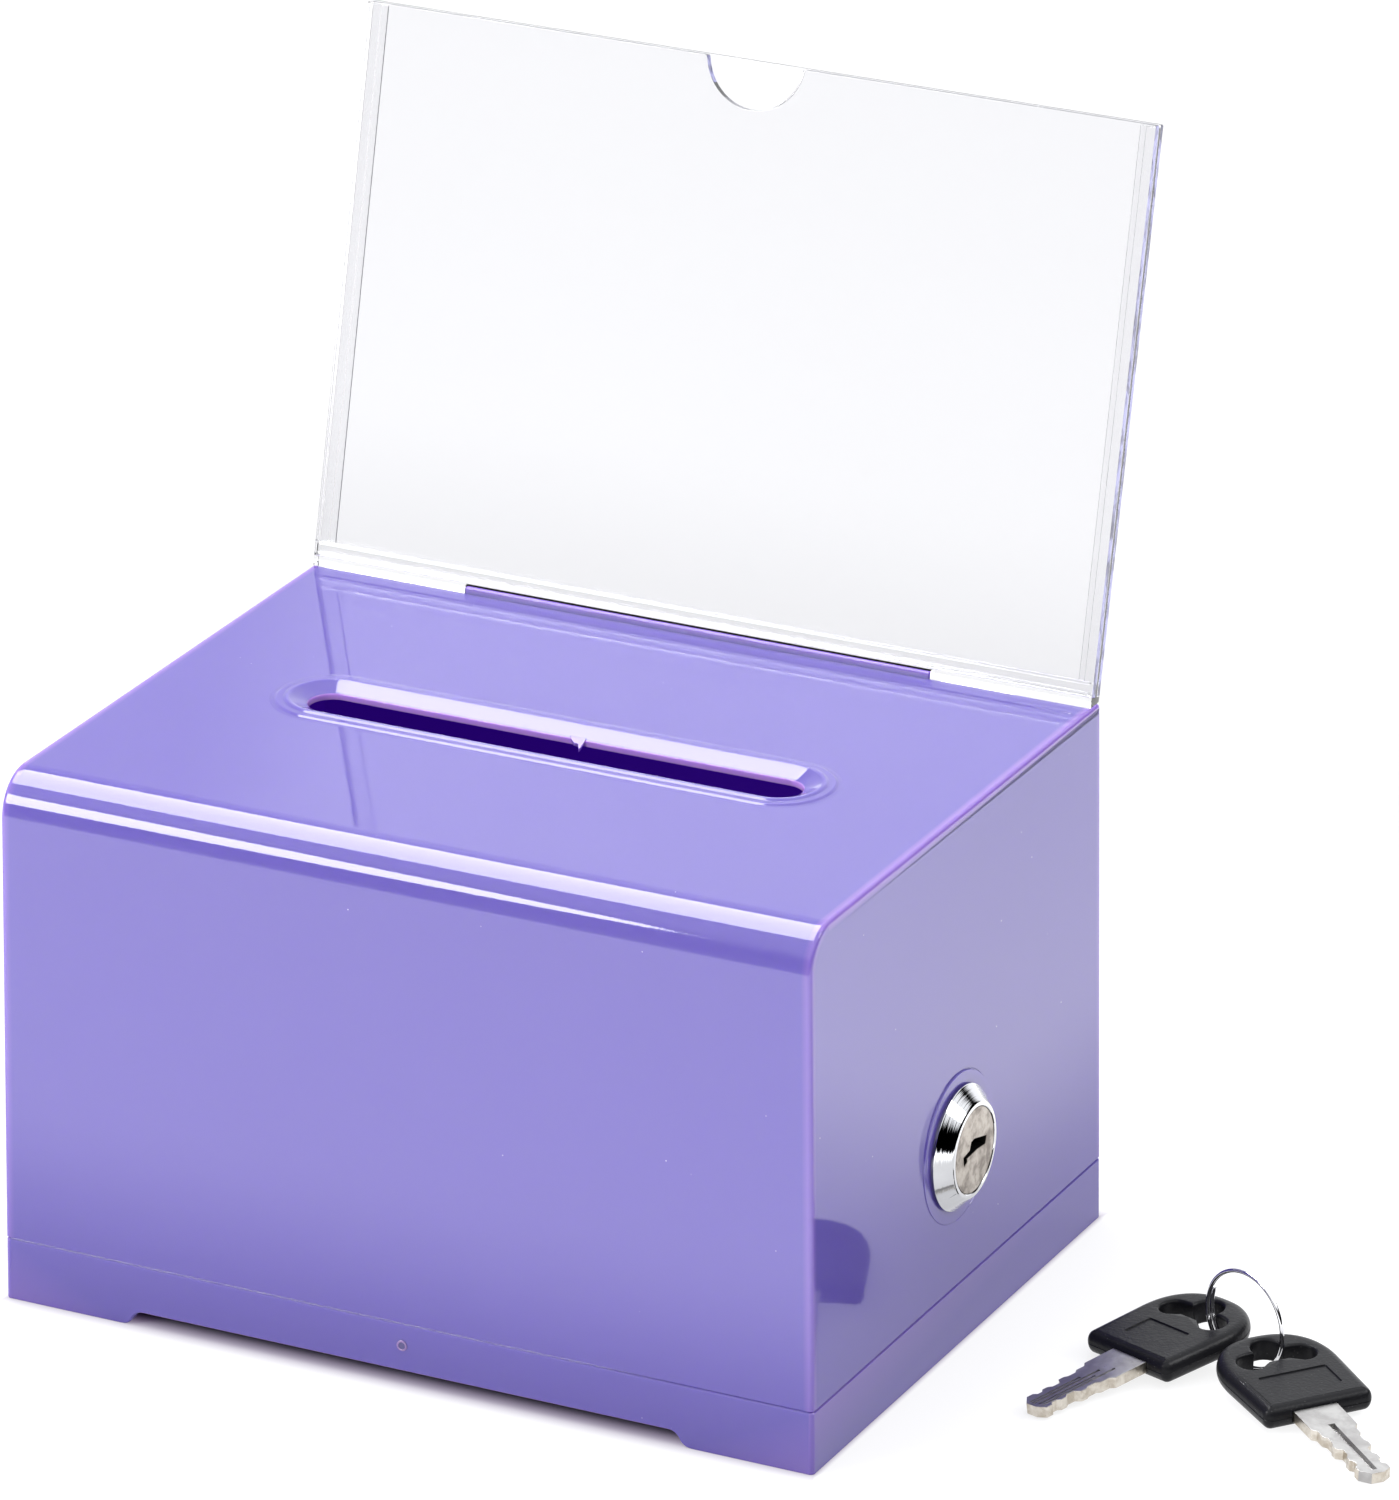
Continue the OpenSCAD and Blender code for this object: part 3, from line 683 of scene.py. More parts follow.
def tongue_slot():
    outline = rectangle(-TONGUE_HALF - SOCKET_GAP, TONGUE_HALF + SOCKET_GAP, -TONGUE_L - 0.3, 4)
    return placed(prism(outline, [(0, TONGUE_N[0] - SOCKET_GAP), (0, TONGUE_N[1] + SOCKET_GAP)]), AT_SLOPE)


def gate_tab():
    """The torn remains of a moulding gate on the slot's far lip."""
    bm = bmesh.new()
    base = [(0.9, 0.4, -0.80), (4.1, 0.4, -0.80), (3.9, -0.4, -1.1), (3.7, -0.9, -1.8), (3.4, -1.3, -2.2),
            (3.0, -0.7, -1.5), (2.3, -0.9, -1.3), (1.5, -0.3, -0.95)]
    low = add_loop(bm, [(x, SLOT_R + y, BOX_H + z - 0.5) for x, y, z in base])
    high = add_loop(bm, [(x, SLOT_R + y, BOX_H + z + (0.3 if y > 0 else 0.1)) for x, y, z in base])
    return solid_chain(bm, [low, high])


def near(distance, width):
    """1 within the width, and 0 beyond it."""
    return 1.0 if abs(distance) < width else 0.0


def wall_depths(co):
    """Depths below the leaning side walls and below the leaning front."""
    lean = DRAFT * co.z
    return HALF_W - lean - abs(co.x), co.y + HALF_D - lean


def shell_depth(co):
    """Depths below the side walls, and below the front, fillet, top and back together."""
    side, front = wall_depths(co)
    top = BOX_H - co.z
    profile = min(front, top, HALF_D - co.y)
    if front < FRONT_R and top < FRONT_R:
        profile = FRONT_R - hypot(FRONT_R - front, FRONT_R - top)
    return side, profile


def shell_painted_glow(co):
    """Painted glow, for light that comes through: the sharp edges beside the side walls, the slot's wall and
    the torn gate, and the bar in front of the sign."""
    side, profile = shell_depth(co)
    top = BOX_H - co.z
    on_edge = near(side, SIDE_R + 0.05) * near(profile, SIDE_R + 0.05)
    run = max(abs(co.x) - SLOT_RUN, 0)
    on_lip = near(hypot(run, co.y) - SLOT_R, 0.1) * near(top - 1.5, 0.7)
    on_tab = near(co.x - 2.6, 1.9) * near(co.y - SLOT_R + 0.9, 1.1) * near(top - 1.9, 1.2)
    on_bar = near(co.y - FOOT_Y, 1.2) * near(top + 1.0, 0.9) * near(co.x, BAR_HALF)
    on_edge *= 0.4 if top < SIDE_R + 0.05 else 0.2
    return max(on_edge, on_lip, on_tab * 0.35, on_bar * 0.3)


def inside_shell(face):
    """Faces that only show through the slot or with the lid open; they get the painted shade and glow of the
    inside material.
    """
    return int(min(shell_depth(face.calc_center_median())) > 1.6)


def make_shell():
    """Two skins closed at the lower rim, joined by the slot and by the lock's seat."""
    bm = bmesh.new()
    top, left, right = skin(bm, TRAY_H + SEAM_CHAMFER, BOX_H, 0, FRONT_R, REAR_R, SIDE_R)
    inner_top, inner_left, inner_right = skin(bm, TRAY_H, BOX_H - WALL, WALL, FRONT_R - WALL, 0.5, 0.4)
    cap(bm, left)
    cap(bm, inner_left)
    slot_ring(bm, top, inner_top)
    lock_seat(bm, right, inner_right)
    outer_rim = [e for e in bm.edges if e.is_boundary and all(v.co.z > TRAY_H + 0.1 for v in e.verts)]
    grown = bmesh.ops.extrude_edge_only(bm, edges=outer_rim)["geom"]
    for v in (g for g in grown if isinstance(g, bmesh.types.BMVert)):
        v.co = (v.co.x * (1 - SEAM_CHAMFER / HALF_W), v.co.y * (1 - SEAM_CHAMFER / HALF_D), TRAY_H)
    # One flat face closes the lower rims of the outer and the inner skin
    fill(bm, [e for e in bm.edges if e.is_boundary])
    bm = combine(bm, sign_socket_boss(), "UNION")
    bm = combine(bm, sign_bar(), "UNION")
    bm = combine(bm, tongue_slot())
    for y in HINGE_Y:
        bm = combine(bm, hinge_pocket(y))
    bm = combine(bm, gate_tab(), "UNION")
    piece("shell_moulding", bm, "shell", [VIOLET, VIOLET_SHADE_AND_GLOW], ["box_shell"],
          painted_glow=shell_painted_glow, paint=inside_shell)


# -------- tray

def tray_loop(bm, shrink, z):
    """The tray's outline at a height, drawn in by a distance from its outer walls."""
    x = HALF_W - DRAFT * z - shrink
    front = -HALF_D + DRAFT * z + shrink
    outline = rectangle(-x, x, front, HALF_D - shrink, max(TRAY_CORNER_R - shrink, 0.3), 6)
    return add_loop(bm, [(p.x, p.y, z) for p in outline])


def arch_cutter():
    """The ogee-ended arch under the tray's front skirt."""
    turn = 2 * degrees(atan(ARCH_H / OGEE_W))
    r = OGEE_W / 2 / sin(radians(turn))
    right = (arc((ARCH_HALF, r), r, -90, -90 - turn, 8)
             + arc((ARCH_HALF - OGEE_W, ARCH_H - r), r, 90 - turn, 90, 8)[1:])
    right = [(ARCH_HALF, -1)] + right
    face = -HALF_D + 0.03
    steps = [(-ARCH_SOFT - 1, -HALF_D - 1), (-ARCH_SOFT, face), (0, face + ARCH_SOFT),
             (0, -HALF_D + 2 * WALL)]
    return placed(prism(right + mirrored(right), steps), ALONG_Y)


def hinge_tab(y):
    curve = hinge_curve(HINGE_R + HINGE_GAP, TAB_IN, LIP_IN)
    back = LIP_IN + LIP_T + 0.02
    outline = curve + [(LIP_IN, -LIP_H), (back, -LIP_H), (back, TAB_TOP), (TAB_IN, TAB_TOP)]
    return hinge_side(outline, y, TAB_W)


def tray_painted_glow(co):
    """Painted light: painted glow on the upright edges, a painted highlight on the rim of the round mark and
    a painted highlight line along the arch.
    """
    side, front = wall_depths(co)
    on_edge = near(side, 0.9) * near(min(front, HALF_D - co.y), 0.9)
    on_mark = near(hypot(co.x, co.z - MARK_Z) - MARK_R + 0.15, 0.2) * near(front, 0.4)
    on_arch = near(co.z - ARCH_H, 0.08) * near(front - 0.3, 0.2) * near(co.x, ARCH_HALF)
    return max(0.18 * on_edge, 0.5 * on_mark, 0.9 * on_arch)


def inside_tray(face):
    """Faces within the tray, which only show with the lid open; they get the painted shade and glow of the
    inside material.
    """
    co = face.calc_center_median()
    return int(co.z > FLOOR_Z + 1 and min(*wall_depths(co), HALF_D - co.y) > 1)


def make_tray():
    """Walls, floor and inner lip in one run, with the arch cut out and the hinge's tabs put on."""
    bm = bmesh.new()
    lip_low = FLOOR_Z + FLOOR_T + 1
    lip_top = TRAY_H + LIP_H
    rows = [(WALL, FLOOR_Z), (WALL, 0.25), (WALL - 0.25, 0), (0.3, 0), (0.08, 0.09), (0, 0.3),
            (0, TRAY_H - SEAM_CHAMFER), (SEAM_CHAMFER, TRAY_H), (LIP_IN, TRAY_H), (LIP_IN, lip_top - 0.3),
            (LIP_IN + 0.3, lip_top), (LIP_IN + LIP_T - 0.3, lip_top), (LIP_IN + LIP_T, lip_top - 0.3),
            (LIP_IN + LIP_T, lip_low), (WALL, lip_low), (WALL, FLOOR_Z + FLOOR_T)]
    bm = solid_chain(bm, [tray_loop(bm, shrink, z) for shrink, z in rows])
    bm = combine(bm, arch_cutter())
    mark = lathe([(MARK_R, -0.3), (MARK_R, 0.1), (MARK_R - 0.1, 0.16), (0.7, 0.16), (0.62, 0.05)], 32)
    mark.transform(Matrix.Translation((0, -HALF_D + DRAFT * MARK_Z, MARK_Z))
                   @ Matrix.Rotation(pi / 2, 4, "X"))
    bm = merge(bm, mark, *[hinge_tab(y) for y in HINGE_Y])
    piece("tray_moulding", bm, "base", [VIOLET, VIOLET_SHADE_AND_GLOW], ["base_tray"],
          painted_glow=tray_painted_glow, paint=inside_tray)


def make_strike():
    """The hooked post that the cam turns in under."""
    x, y = LOCK_BACK + STRIKE_X, LOCK_Y - CAM_REACH - STRIKE_GAP
    foot, hook = FLOOR_Z + FLOOR_T, LOCK_Z + CAM_W + STRIKE_LIFT
    back, reach = y - STRIKE_POST, y + STRIKE_HOOK
    rib_foot = y - 3 * STRIKE_RIM
    post = [(back, foot), (y, foot), (y, hook), (reach, hook), (reach, hook + STRIKE_RIM),
            (back, hook + STRIKE_RIM)]
    post = placed(prism(post, edge_steps(x, x + STRIKE_W, 0.4)), ALONG_X)
    rib = [(rib_foot, foot + 1), (back + 0.1, foot + 1), (back + 0.1, hook - 8)]
    rib = placed(prism(rib, edge_steps(x + STRIKE_W / 3, x + STRIKE_W * 2 / 3, 0.2)), ALONG_X)
    plate = rectangle(x - STRIKE_RIM, x + STRIKE_W + STRIKE_RIM, rib_foot, y + STRIKE_RIM, STRIKE_PLATE)
    plate = prism(plate, [(0, foot), (0, foot + STRIKE_PLATE - 0.3), (0.3, foot + STRIKE_PLATE)])
    piece("strike_post", merge(post, plate, rib), "base", [VIOLET_SHADE_AND_GLOW], ["strike"])


# -------- sign holder

def sheet_outline(notched):
    """A sheet seen from the front, with the thumb notch in its top edge or without it."""
    high = SIGN_H
    half = [(SIGN_HALF, FOOT_H + JOINT_GAP)]
    half += arc((SIGN_HALF - SHEET_CORNER, high - SHEET_CORNER), SHEET_CORNER, 0, 90, 4)
    bowl = []
    if notched:
        # The notch's circle is centred a little above the sheet's edge
        lift, soft = 0.9, 0.6
        dip = degrees(asin(lift / NOTCH_R))
        edge = NOTCH_R * cos(radians(dip))
        half += [(edge + soft, high), (edge + 0.15, high - 0.12)]
        bowl = arc((0, high + lift), NOTCH_R, -dip - 4, -180 + dip + 4, 48)
    return half + bowl + mirrored(half)


def saw_cut_and_painted_shade(face):
    """1 on the sheets' right ends, which are saw cut and in painted shade, and 2 on their top edges, in
    painted dark shade on the front sheet.
    """
    if face.normal.x > 0.8:
        return 1
    upward = face.normal.z > 0.8 and face.calc_center_median().z > BOX_H + SIGN_H / 2
    return 2 if upward else 0


def rail_step(face):
    """The rails' innermost edges, beside the card, which get the painted dark shade."""
    x = face.calc_center_median().x
    return int(face.normal.x * x < -0.5 and (x > 0 or -x < SIGN_HALF - RAIL_W - RAIL_STEP / 2))


def sign_bead(height, radius):
    """A low rounded line along the front sheet, where it is joined to the foot."""
    outline = [(-radius * 0.6 * sin(a), height + radius * cos(a)) for a in (pi * i / 8 for i in range(9))]
    outline += [(0.2, height - radius), (0.2, height + radius)]
    end = SIGN_HALF - 0.9
    return placed(prism(outline, [(0.2, -end - 0.3), (0, -end), (0, end), (0.2, end + 0.3)]), ACROSS_SLOPE)


def make_sign_sheets():
    for name, notched, n0, n1 in (("front", True, 0, FRONT_T), ("back", False, FRONT_T + CARD_GAP, SIGN_T)):
        bm = placed(prism(sheet_outline(notched), edge_steps(n0, n1, 0.12, 2)), AT_SLOPE)
        # The front sheet's top edge gets the painted dark shade; the back sheet's stays clear
        top_edge = CLEAR
        if notched:
            bm = merge(bm, sign_bead(FOOT_RAIL, 0.32), sign_bead(FOOT_H + 0.7, 0.25))
            top_edge = CLEAR_PAINTED_DARK
        piece(f"sign_{name}_panel", bm, "sign", [CLEAR, CLEAR_CUT_PAINTED_SHADE, top_edge],
              [f"sign_{name}_sheet"], paint=saw_cut_and_painted_shade)


def make_sign_rails():
    """The strips between the sheets at both sides, with a step towards the card's edge."""
    n0, n1 = CARD_N
    middle = (n0 + n1) / 2
    outer, inner = SIGN_HALF - 0.02, SIGN_HALF - RAIL_W
    step = inner - RAIL_STEP
    for name, side in (("left", -1), ("right", 1)):
        section = [(outer, n0), (outer, n1), (step, n1), (step, middle), (inner, middle), (inner, n0)]
        rail = prism(section, edge_steps(FOOT_RAIL + JOINT_GAP, SIGN_H - 0.5, 0.05, 1))
        # drawn in X and the sheets' depth, rising along the slope
        rail = placed(rail, AT_SLOPE @ Matrix.Diagonal((side, 1, 1, 1)) @ ALONG_Y)
        piece(f"sign_rail_strip_{name}", rail, "sign", [CLEAR, CLEAR_PAINTED_DARK],
              [f"sign_rail_{name}"], paint=rail_step)


def make_sign_foot():
    """Foot bar cut level underneath, with the pocket's floor above it and the tongue below."""
    n0, n1 = CARD_N
    rise = SIGN_T * tan(SIGN_LEAN)
    section = [(0, 0.02), (SIGN_T, rise + 0.02), (SIGN_T, FOOT_H), (n1, FOOT_H), (n1, FOOT_RAIL),
               (n0, FOOT_RAIL), (n0, FOOT_H), (0, FOOT_H)]
    foot = placed(prism(section, edge_steps(-SIGN_HALF, SIGN_HALF, 0.2, 2)), ACROSS_SLOPE)
    tongue = prism(rectangle(-TONGUE_HALF, TONGUE_HALF, -TONGUE_L, 1.5), edge_steps(*TONGUE_N, 0.1, 1))
    foot = combine(foot, placed(tongue, AT_SLOPE), "UNION")
    bar = rectangle(FOOT_Y - 1, FOOT_Y + BAR_D + 0.2, BOX_H - 0.3, BOX_H + BAR_H + SOCKET_GAP)
    bar = prism(bar, [(0, -BAR_HALF - SOCKET_GAP), (0, BAR_HALF + SOCKET_GAP)])
    foot = combine(foot, placed(bar, ALONG_X))
    piece("sign_foot_bar", foot, "sign", [CLEAR], ["sign_foot"])


# -------- lock

def make_lock_body():
    """The flange, the threaded barrel with its two flats, and the two stops behind it."""
    x, top = SEAT_X, SEAT_X + FLANGE_H
    bore, recess, neck = PLUG_R + RUN_GAP, PLUG_HEAD_R + RUN_GAP, FLANGE_R - 0.9
    root = BARREL_R - THREAD_DEPTH
    profile = [(bore, LOCK_BACK), (BARREL_R - 0.5, LOCK_BACK), (BARREL_R, LOCK_BACK + 0.5)]
    z = LOCK_BACK + 0.5
    while z < x - 0.9:
        profile += [(BARREL_R, z + 0.3), (root, z + 0.55), (root, z + 0.6), (BARREL_R, z + 0.85)]
        z += THREAD_PITCH
    profile += [(BARREL_R, x), (neck, x), (neck, x + 0.34), (FLANGE_R - 0.12, x + 0.38),
                (FLANGE_R, x + 0.48), (FLANGE_R, x + 0.58), (FLANGE_R - 0.12, x + 0.72),
                (FLANGE_TOP_R + 0.3, top - 0.28), (FLANGE_TOP_R + 0.1, top - 0.08),
                (FLANGE_TOP_R - 0.12, top), (recess + 0.14, top), (recess, top - 0.12),
                (recess, PLUG_SEAT), (bore, PLUG_SEAT)]
    bm = ring_lathe(profile, 128)
    for v in bm.verts:
        if v.co.z < x - 0.01 and hypot(v.co.x, v.co.y) > BARREL_FLAT:
            v.co.x = max(-BARREL_FLAT, min(BARREL_FLAT, v.co.x))
    for start in (44, -94):
        turn = [start, start + 20]
        stop = arc((0, 0), BARREL_R - 0.2, *turn, 8) + arc((0, 0), CAM_HUB + 0.5, *reversed(turn), 8)
        bm = merge(bm, prism(stop, [(0, LOCK_BACK - STOP_T), (0, LOCK_BACK + 0.1)]))
    # a thin scored line down the cone, at the lower left
    line = [(FLANGE_TOP_R + 0.3, top - 0.36), (FLANGE_R + 0.2, x + 0.52), (FLANGE_R + 0.2, top + 1),
            (FLANGE_TOP_R + 0.3, top + 1)]
    score = placed(prism(line, [(0, -0.08), (0, 0.08)]), Matrix.Rotation(radians(-52), 4, "Z") @ ALONG_Y)
    piece("lock_body", placed(combine(bm, score), AT_LOCK), "shell", [LOCK_CHROME],
          ["lock_housing"])


def make_lock_fixings():
    """The nut and the washer that draw the flange onto the wall."""
    middle, high = SEAT_X - PAD_T - WASHER_T, SEAT_X - PAD_T
    low = middle - NUT_T
    hole = [circle(BARREL_R)]
    nut = arc((0, 0), NUT_ACROSS / sqrt(3), 30, 330, 5)
    nut = prism(nut, edge_steps(low, middle, 0.4), hole, edge_steps(low, middle, 0.3))
    piece("lock_ring_nut", placed(nut, AT_LOCK), "shell", [LOCK_CHROME], ["lock_nut"])
    washer = prism(circle(WASHER_R), edge_steps(middle, high, 0.15), hole)
    piece("lock_flat_washer", placed(washer, AT_LOCK), "shell", [PLATED_STEEL],
          ["lock_washer"])


def drive_square():
    """The square of the stub and of the holes that it turns."""
    return rectangle(-DRIVE, DRIVE, -DRIVE, DRIVE, 0.2, 2)


def make_plug_barrel():
    """The plug's head and core round the keyway, and the square stub at its back."""
    seat = PLUG_SEAT + RUN_GAP
    face = seat + PLUG_HEAD_L - 0.15
    # drawn about the lock's axis, where local X points down
    keyway = [[(-z, y) for y, z in reversed(KEYWAY)]]
    head = prism(circle(PLUG_HEAD_R), [(0, seat), (0, face - 0.2), (0.06, face - 0.06), (0.2, face)],
                 keyway, [(0, seat), (0, face - 0.12), (0.03, face - 0.03), (0.12, face)])
    core = prism(circle(PLUG_R), [(0, LOCK_BACK), (0, seat + 0.01)], keyway)
    stub = prism(drive_square(), edge_steps(CAM_LOW, LOCK_BACK + 1, 0.1))

    def in_keyway(f):
        """The walls of the keyway, below its bright rim, which get the painted shade."""
        co = f.calc_center_median() - Vector((face, LOCK_Y, LOCK_Z))
        reach = hypot(co.y, co.z)
        return int(abs(f.normal.x) < 0.5 and reach < PLUG_R - 1 and LOCK_BACK - face + 1 < co.x < -0.08)

    piece("plug_barrel", placed(merge(head, core, stub), AT_LOCK), "plug",
          [PLUG_NICKEL, KEYWAY_PAINTED_SHADE], ["lock_plug"], paint=in_keyway)


def make_plug_plates():
    """The stop plate and the cam, both on the square stub."""
    stop = arc((0, 0), BARREL_R - 0.3, 18, 42, 8) + arc((0, 0), CAM_HUB + 0.2, 42, 378, 80)
    side = degrees(asin(CAM_W / CAM_HUB))
    end = arc((CAM_REACH - 1.5, CAM_W - 1.5), 1.5, 0, 90, 5)
    cam = arc((0, 0), CAM_HUB, side, 360 - side, 48) + [(x, -y) for x, y in reversed(end)] + end
    stop_low, stop_high = LOCK_BACK - STOP_T - RUN_GAP, LOCK_BACK - RUN_GAP
    for name, node, outline, low, high, soft in (
            ("stop_plate", "stop_washer", stop, stop_low, stop_high, 0.1),
            ("cam_bar", "lock_cam", cam, CAM_LOW, CAM_LOW + CAM_T, 0.15)):
        bm = prism(outline, edge_steps(low, high, soft, 2), [drive_square()])
        piece(name, placed(bm, AT_LOCK), "plug", [PLATED_STEEL], [node])


def make_cam_screw():
    """A cheese-head screw with a cross slot."""
    low = CAM_LOW - 2.2
    screw = lathe([(3.0, low), (3.55, low + 0.35), (3.8, low + 0.9), (3.8, low + 2.05), (3.65, CAM_LOW)], 64)
    for turn in (0, 90):
        slot = prism(rectangle(-2.2, 2.2, -0.45, 0.45, 0.1, 2), [(0, low - 1), (0, low + 1.2)])
        screw = combine(screw, placed(slot, Matrix.Rotation(radians(turn), 4, "Z")))
    piece("cam_fixing_screw", placed(screw, AT_LOCK), "plug", [CHROME], ["cam_screw"])


# -------- keys and ring

def bow_outline():
    """The bow: a square shoulder with round corners, and an end between an ellipse and a square."""
    power = 2 / 2.3
    root = BOW_W - 0.4
    centre = BOW_END - BOW_L
    end = [(centre - BOW_END * sin(a) ** power, BOW_W * copysign(abs(cos(a)) ** power, cos(a)))
           for a in map(radians, range(4, 180, 4))]
    r = BOW_CORNER
    return (arc((-r, r - root), r, -90, 0, 6) + arc((-r, root - r), r, 0, 90, 6)
            + [(centre, BOW_W)] + end + [(centre, -BOW_W)])


def leaves(way, low, high):
    """How far a ray from 0 goes before it leaves the range, at its speed along one axis."""
    return (high if way > 0 else low) / way if abs(way) > 1e-9 else inf


def bow_hole():
    """The three-lobed hole: the far side of three circles and a slot, as seen from its middle."""
    middle = Vector((-17.6, 0))
    lobes = [(Vector((1.2, 5)), 2.5), (Vector((1.2, -5)), 2.5), (Vector((-2.2, 0)), 2.9)]
    outline = []
    for way in circle(1, 72):
        reach = [min(leaves(way.x, -1.4, 2.0), leaves(way.y, -5.0, 5.0))]
        for centre, radius in lobes:
            along = centre.dot(way)
            inside = along * along - centre.length_squared + radius * radius
            if inside > 0:
                reach.append(along + sqrt(inside))
        outline.append(middle + way * max(reach))
    return outline


def both_sides(steps):
    """(inset, height) pairs from below the middle to above it."""
    return [(i, -z) for i, z in steps] + [(i, z) for i, z in reversed(steps) if z]


def make_bow(name, place, hand):
    """The bow's rounded grip, with a sunk panel on each side and the blade's slot in its root."""
    steps = [(1.9, 2.2), (1.35, 2.13), (0.9, 1.95), (0.55, 1.68), (0.28, 1.3), (0.1, 0.85), (0.02, 0.4),
             (0, 0.12), (0.07, 0.0)]
    hole_steps = [(0.55, 2.2), (0.3, 2.12), (0.1, 1.9), (0, 1.55)]
    bm = prism(bow_outline(), both_sides(steps), [bow_hole()], both_sides(hole_steps))
    for side, half in ((-1, 6.7), (1, 5.2)):
        panel = prism(rectangle(-11, -4.6, -half, half, 0.4, 3), [(0.2, 1.95), (0, 2.3)])
        if hand * side < 0:
            panel.transform(Matrix.Rotation(pi, 4, "X"))
        bm = combine(bm, panel)
    slot = prism(rectangle(-BLADE_ROOT, 1, -4.45, 4.45), [(0, -BLADE_T / 2 - 0.06), (0, BLADE_T / 2 + 0.06)])
    bm = combine(bm, placed(slot, blade_place(hand)))
    piece(f"{name}_grip", placed(bm, place), name, [BLACK], [f"{name}_bow"], sharp=30)


def blade_place(hand):
    """The blade stands a little off the bow's middle and askew."""
    return Matrix.Translation((0, hand * BLADE_OFF, 0)) @ Matrix.Rotation(hand * BLADE_SKEW, 4, "Z")


def blade_outline():
    """The same cuts along both edges, the lower ones a little nearer the bow."""
    cuts = [(7.4, 4.3), (8.2, 3.5), (10.2, 3.5), (10.9, 2.9), (12.6, 2.9), (13.4, 3.3), (14.6, 3.3),
            (15.4, 2.2), (17, 2.2), (17.8, 2.8), (19, 2.8), (19.6, 2.2), (20.6, 2.2), (21.2, 2.9),
            (22.6, 2.9)]
    lower = [(u - 0.7, 0.1 - v) for u, v in reversed(cuts)]
    tip = [(BLADE_L, 1.3), (BLADE_L, -1.1)]
    clockwise = [(-BLADE_ROOT + 0.1, 4.3)] + cuts + tip + lower + [(-BLADE_ROOT + 0.1, -4.3)]
    return clockwise[::-1]


def make_blade(name, place, hand):
    top = BLADE_T / 2
    bm = prism(blade_outline(), edge_steps(-top, top, 0.14, 2))
    for side, v0, v1, u0, u1, deep in GROOVES[hand]:
        flare = (v1 - v0) / 6
        groove = [(v0 - flare, top + 0.1), (v0 + flare, top - deep), (v1 - flare, top - deep),
                  (v1 + flare, top + 0.1)]
        groove = [(v, side * z) for v, z in groove[::-side]]
        bm = combine(bm, placed(prism(groove, [(0.1, u0), (0, u0 + 0.6), (0, u1)]), ALONG_X))

    def cut_edge(face):
        """The blade's sides, but not the walls of its grooves."""
        co = face.calc_center_median()
        inside = abs(co.y) < 2.0 and 1 < co.x < BLADE_L - 0.5
        return int(abs(face.normal.z) < 0.5 and not inside)

    paint_faces(bm, cut_edge)
    bm = placed(bm, place @ blade_place(hand))
    piece(f"{name}_shank", bm, name, [BLADE_NICKEL, CUT_NICKEL], [f"{name}_blade"])


def make_keys():
    for name, (at, turn, hand) in KEY_PLACES.items():
        place = Matrix.Translation(at) @ Euler([radians(t) for t in turn]).to_matrix().to_4x4()
        make_bow(name, place, hand)
        make_blade(name, place, hand)


def make_ring():
    """One wire: part of a turn behind, a crossing, and nearly a full turn in front."""
    path = []
    for turn in range(160, 661, 4):
        a = radians(turn)
        behind = 1 - min(max((turn - 296) / 40, 0), 1)
        behind = behind * behind * (3 - 2 * behind)
        path.append(Vector((SPLIT_R * cos(a), SPLIT_R * sin(a), -COIL_STEP * behind)))
    place = (Matrix.Translation(SPLIT_AT) @ Matrix.Rotation(radians(SPLIT_TURN), 4, "Z")
             @ Matrix.Rotation(pi / 2, 4, "X"))
    wire = placed(tube(path, WIRE_R), place)
    piece("key_ring_wire", wire, "ring", [CHROME], ["split_ring"], sharp=60)


def dress_frame():
    """The nodes that stay as they are get their finish."""
    for node, material in (("lock_wafers", WAFER_BRASS), ("wafer_springs", SPRING_STEEL)):
        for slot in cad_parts[node].material_slots:
            slot.material = material


# -------- studio

def make_floor():
    """White paper with painted light: its emission is even round the object, far brighter close in front of
    it and to the right, and it carries a painted shadow, violet and dark, under it."""
    s = Shader("floor_paper")
    axes = s.axes()
    x, y = axes["X"], axes["Y"]
    # Painted light: even emission round the object, dimmer behind it, a bright painted pool close in front,
    # and dark far in front
    level = s.maths("ADD", s.smooth(y, 0.10, 0.26, 0.74, 0.50), s.smooth(y, 0.27, 0.38, 0.0, 0.12))
    level = s.maths("ADD", level, s.smooth(y, -0.14, -0.066, 2.0, 0.0))
    level = s.maths("MULTIPLY", level, s.smooth(y, -0.50, -0.34, 0.02, 1.0))
    # A painted pool of light to the right of the object
    right = s.maths("MULTIPLY", s.smooth(x, 0.085, 0.13), s.smooth(y, 0.025, 0.11, 0.12, 1.0))
    # how far out from under the box, for the painted shadow, with the sides' distance taken three times
    beside = s.maths("MULTIPLY", s.maths("SUBTRACT", s.maths("ABSOLUTE", x), HALF_W * MM), 3.0)
    before = s.maths("SUBTRACT", s.maths("ABSOLUTE", y), HALF_D * MM)
    clear = s.smooth(s.maths("MAXIMUM", beside, before), -0.0055, 0.0035)
    # The painted shadow: the emission turns violet and fades out under the box
    s.set(Base_Color=s.blend(s.noise(3), (0.21, 0.21, 0.215), (0.23, 0.23, 0.235)), Roughness=0.9,
          Specular_IOR_Level=0.0, Emission_Color=s.blend(clear, (0.42, 0.22, 0.62), ON),
          Emission_Strength=s.maths("MULTIPLY", s.maths("ADD", level, right), clear))
    bm = bmesh.new()
    bmesh.ops.create_grid(bm, x_segments=8, y_segments=8, size=6)
    mesh = new_mesh("floor", bm)
    mesh.materials.append(s.material)
    new_object("floor", mesh)


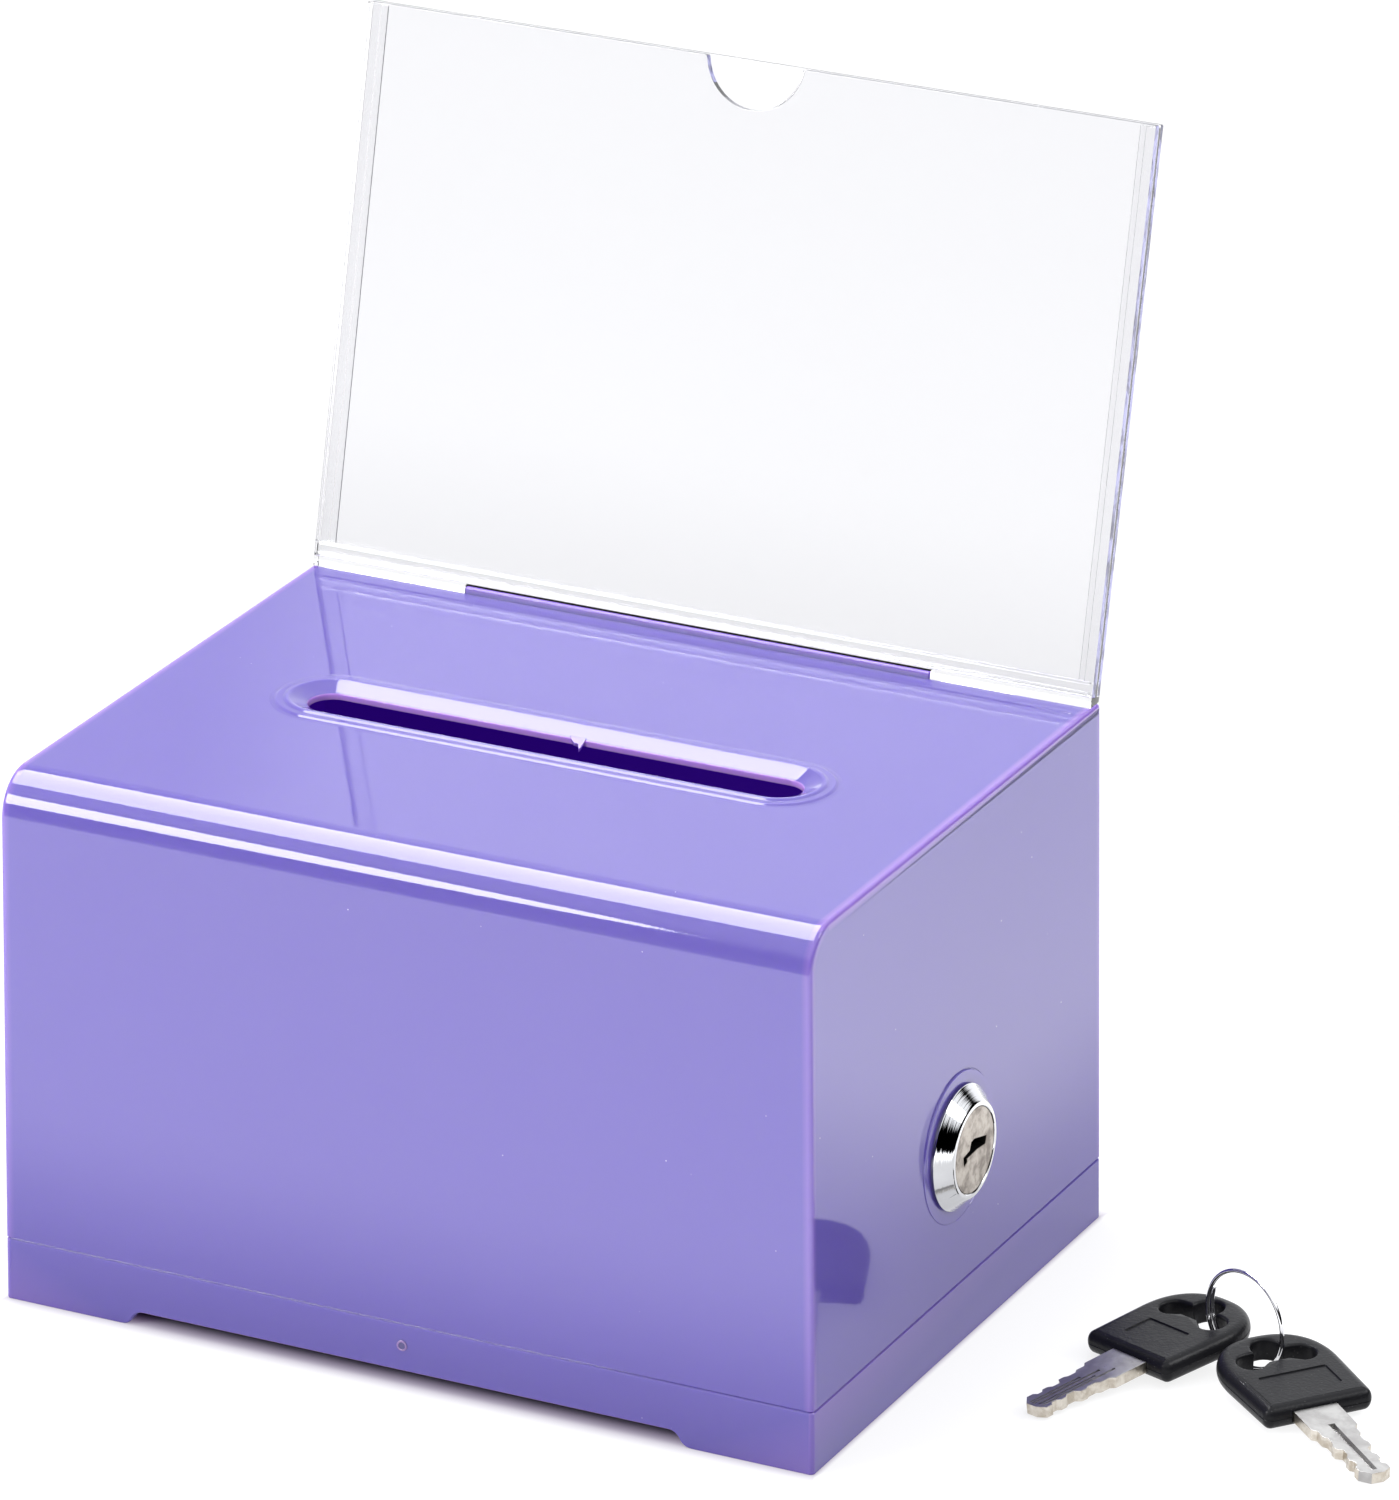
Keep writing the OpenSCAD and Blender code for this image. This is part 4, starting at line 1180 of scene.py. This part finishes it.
def soft_light(name, at, target, size, radiance, shape="RECTANGLE"):
    """An area light of a set brightness, whatever its size."""
    lamp = bpy.data.lights.new(name, "AREA")
    lamp.shape = shape
    lamp.size, lamp.size_y = size
    area = size[0] * size[1] * (pi / 4 if shape == "ELLIPSE" else 1)
    lamp.energy = radiance * pi * area
    obj = new_object(name, lamp)
    obj.location = at
    obj.rotation_euler = (Vector(target) - Vector(at)).to_track_quat("-Z", "Y").to_euler()


def make_lights():
    soft_light("softbox_over", (-0.64, 0.13, 1.40), (-0.64, 0.13, 0), (0.50, 1.20), 11)
    soft_light("softbox_front", (-0.61, -0.80, 0.54), (0, 0, 0.05), (0.50, 0.36), 17, "ELLIPSE")
    soft_light("softbox_right", (1.0, 0.35, 0.85), (0.08, 0, 0.05), (0.42, 0.42), 8)


def make_world():
    """A pale studio: bright high in front, even behind, dark low in front and low on the right."""
    world = bpy.data.worlds.new("studio")
    bpy.context.scene.world = world
    world.use_nodes = True
    room = Nodes(world.node_tree)
    way = room.add("TexCoord").outputs["Generated"]
    x, y, z = room.add("SeparateXYZ", {0: way}).outputs
    in_front, behind = room.smooth(y, -0.3, 0.1, 1.0, 0.0), room.smooth(y, -0.3, 0.1)
    front = room.maths("MULTIPLY", in_front, room.smooth(z, 0.25, 0.65, *WORLD_FRONT))
    back = room.maths("MULTIPLY", behind, room.smooth(x, -0.462, -0.445, *WORLD_BACK))
    lit = room.maths("MAXIMUM", room.smooth(z, 0.42, 0.52), room.smooth(x, 0.25, 0.45, 1.0, 0.0))
    background = room.tree.nodes["Background"].inputs
    room.feed(background["Strength"], room.maths("MULTIPLY", room.maths("ADD", front, back), lit))
    room.feed(background["Color"], (0.97, 0.98, 1))


def make_camera():
    """The photograph's viewpoint."""
    lens = bpy.data.cameras.new("camera")
    lens.sensor_fit, lens.sensor_height, lens.sensor_width = "VERTICAL", 36, 36
    lens.lens = 248.43
    lens.clip_end = 50
    camera = new_object("camera", lens)
    camera.location = (0.77765, -1.47953, 0.78765)
    camera.rotation_euler = [radians(a) for a in (67.5650, 0.1680, 26.7819)]
    bpy.context.scene.camera = camera


make_camera()
make_shell()
make_tray()
make_strike()
make_sign_sheets()
make_sign_rails()
make_sign_foot()
make_lock_body()
make_lock_fixings()
make_plug_barrel()
make_plug_plates()
make_cam_screw()
make_keys()
make_ring()
dress_frame()
make_floor()
make_lights()
make_world()
bpy.context.scene.view_settings.view_transform = "Standard"
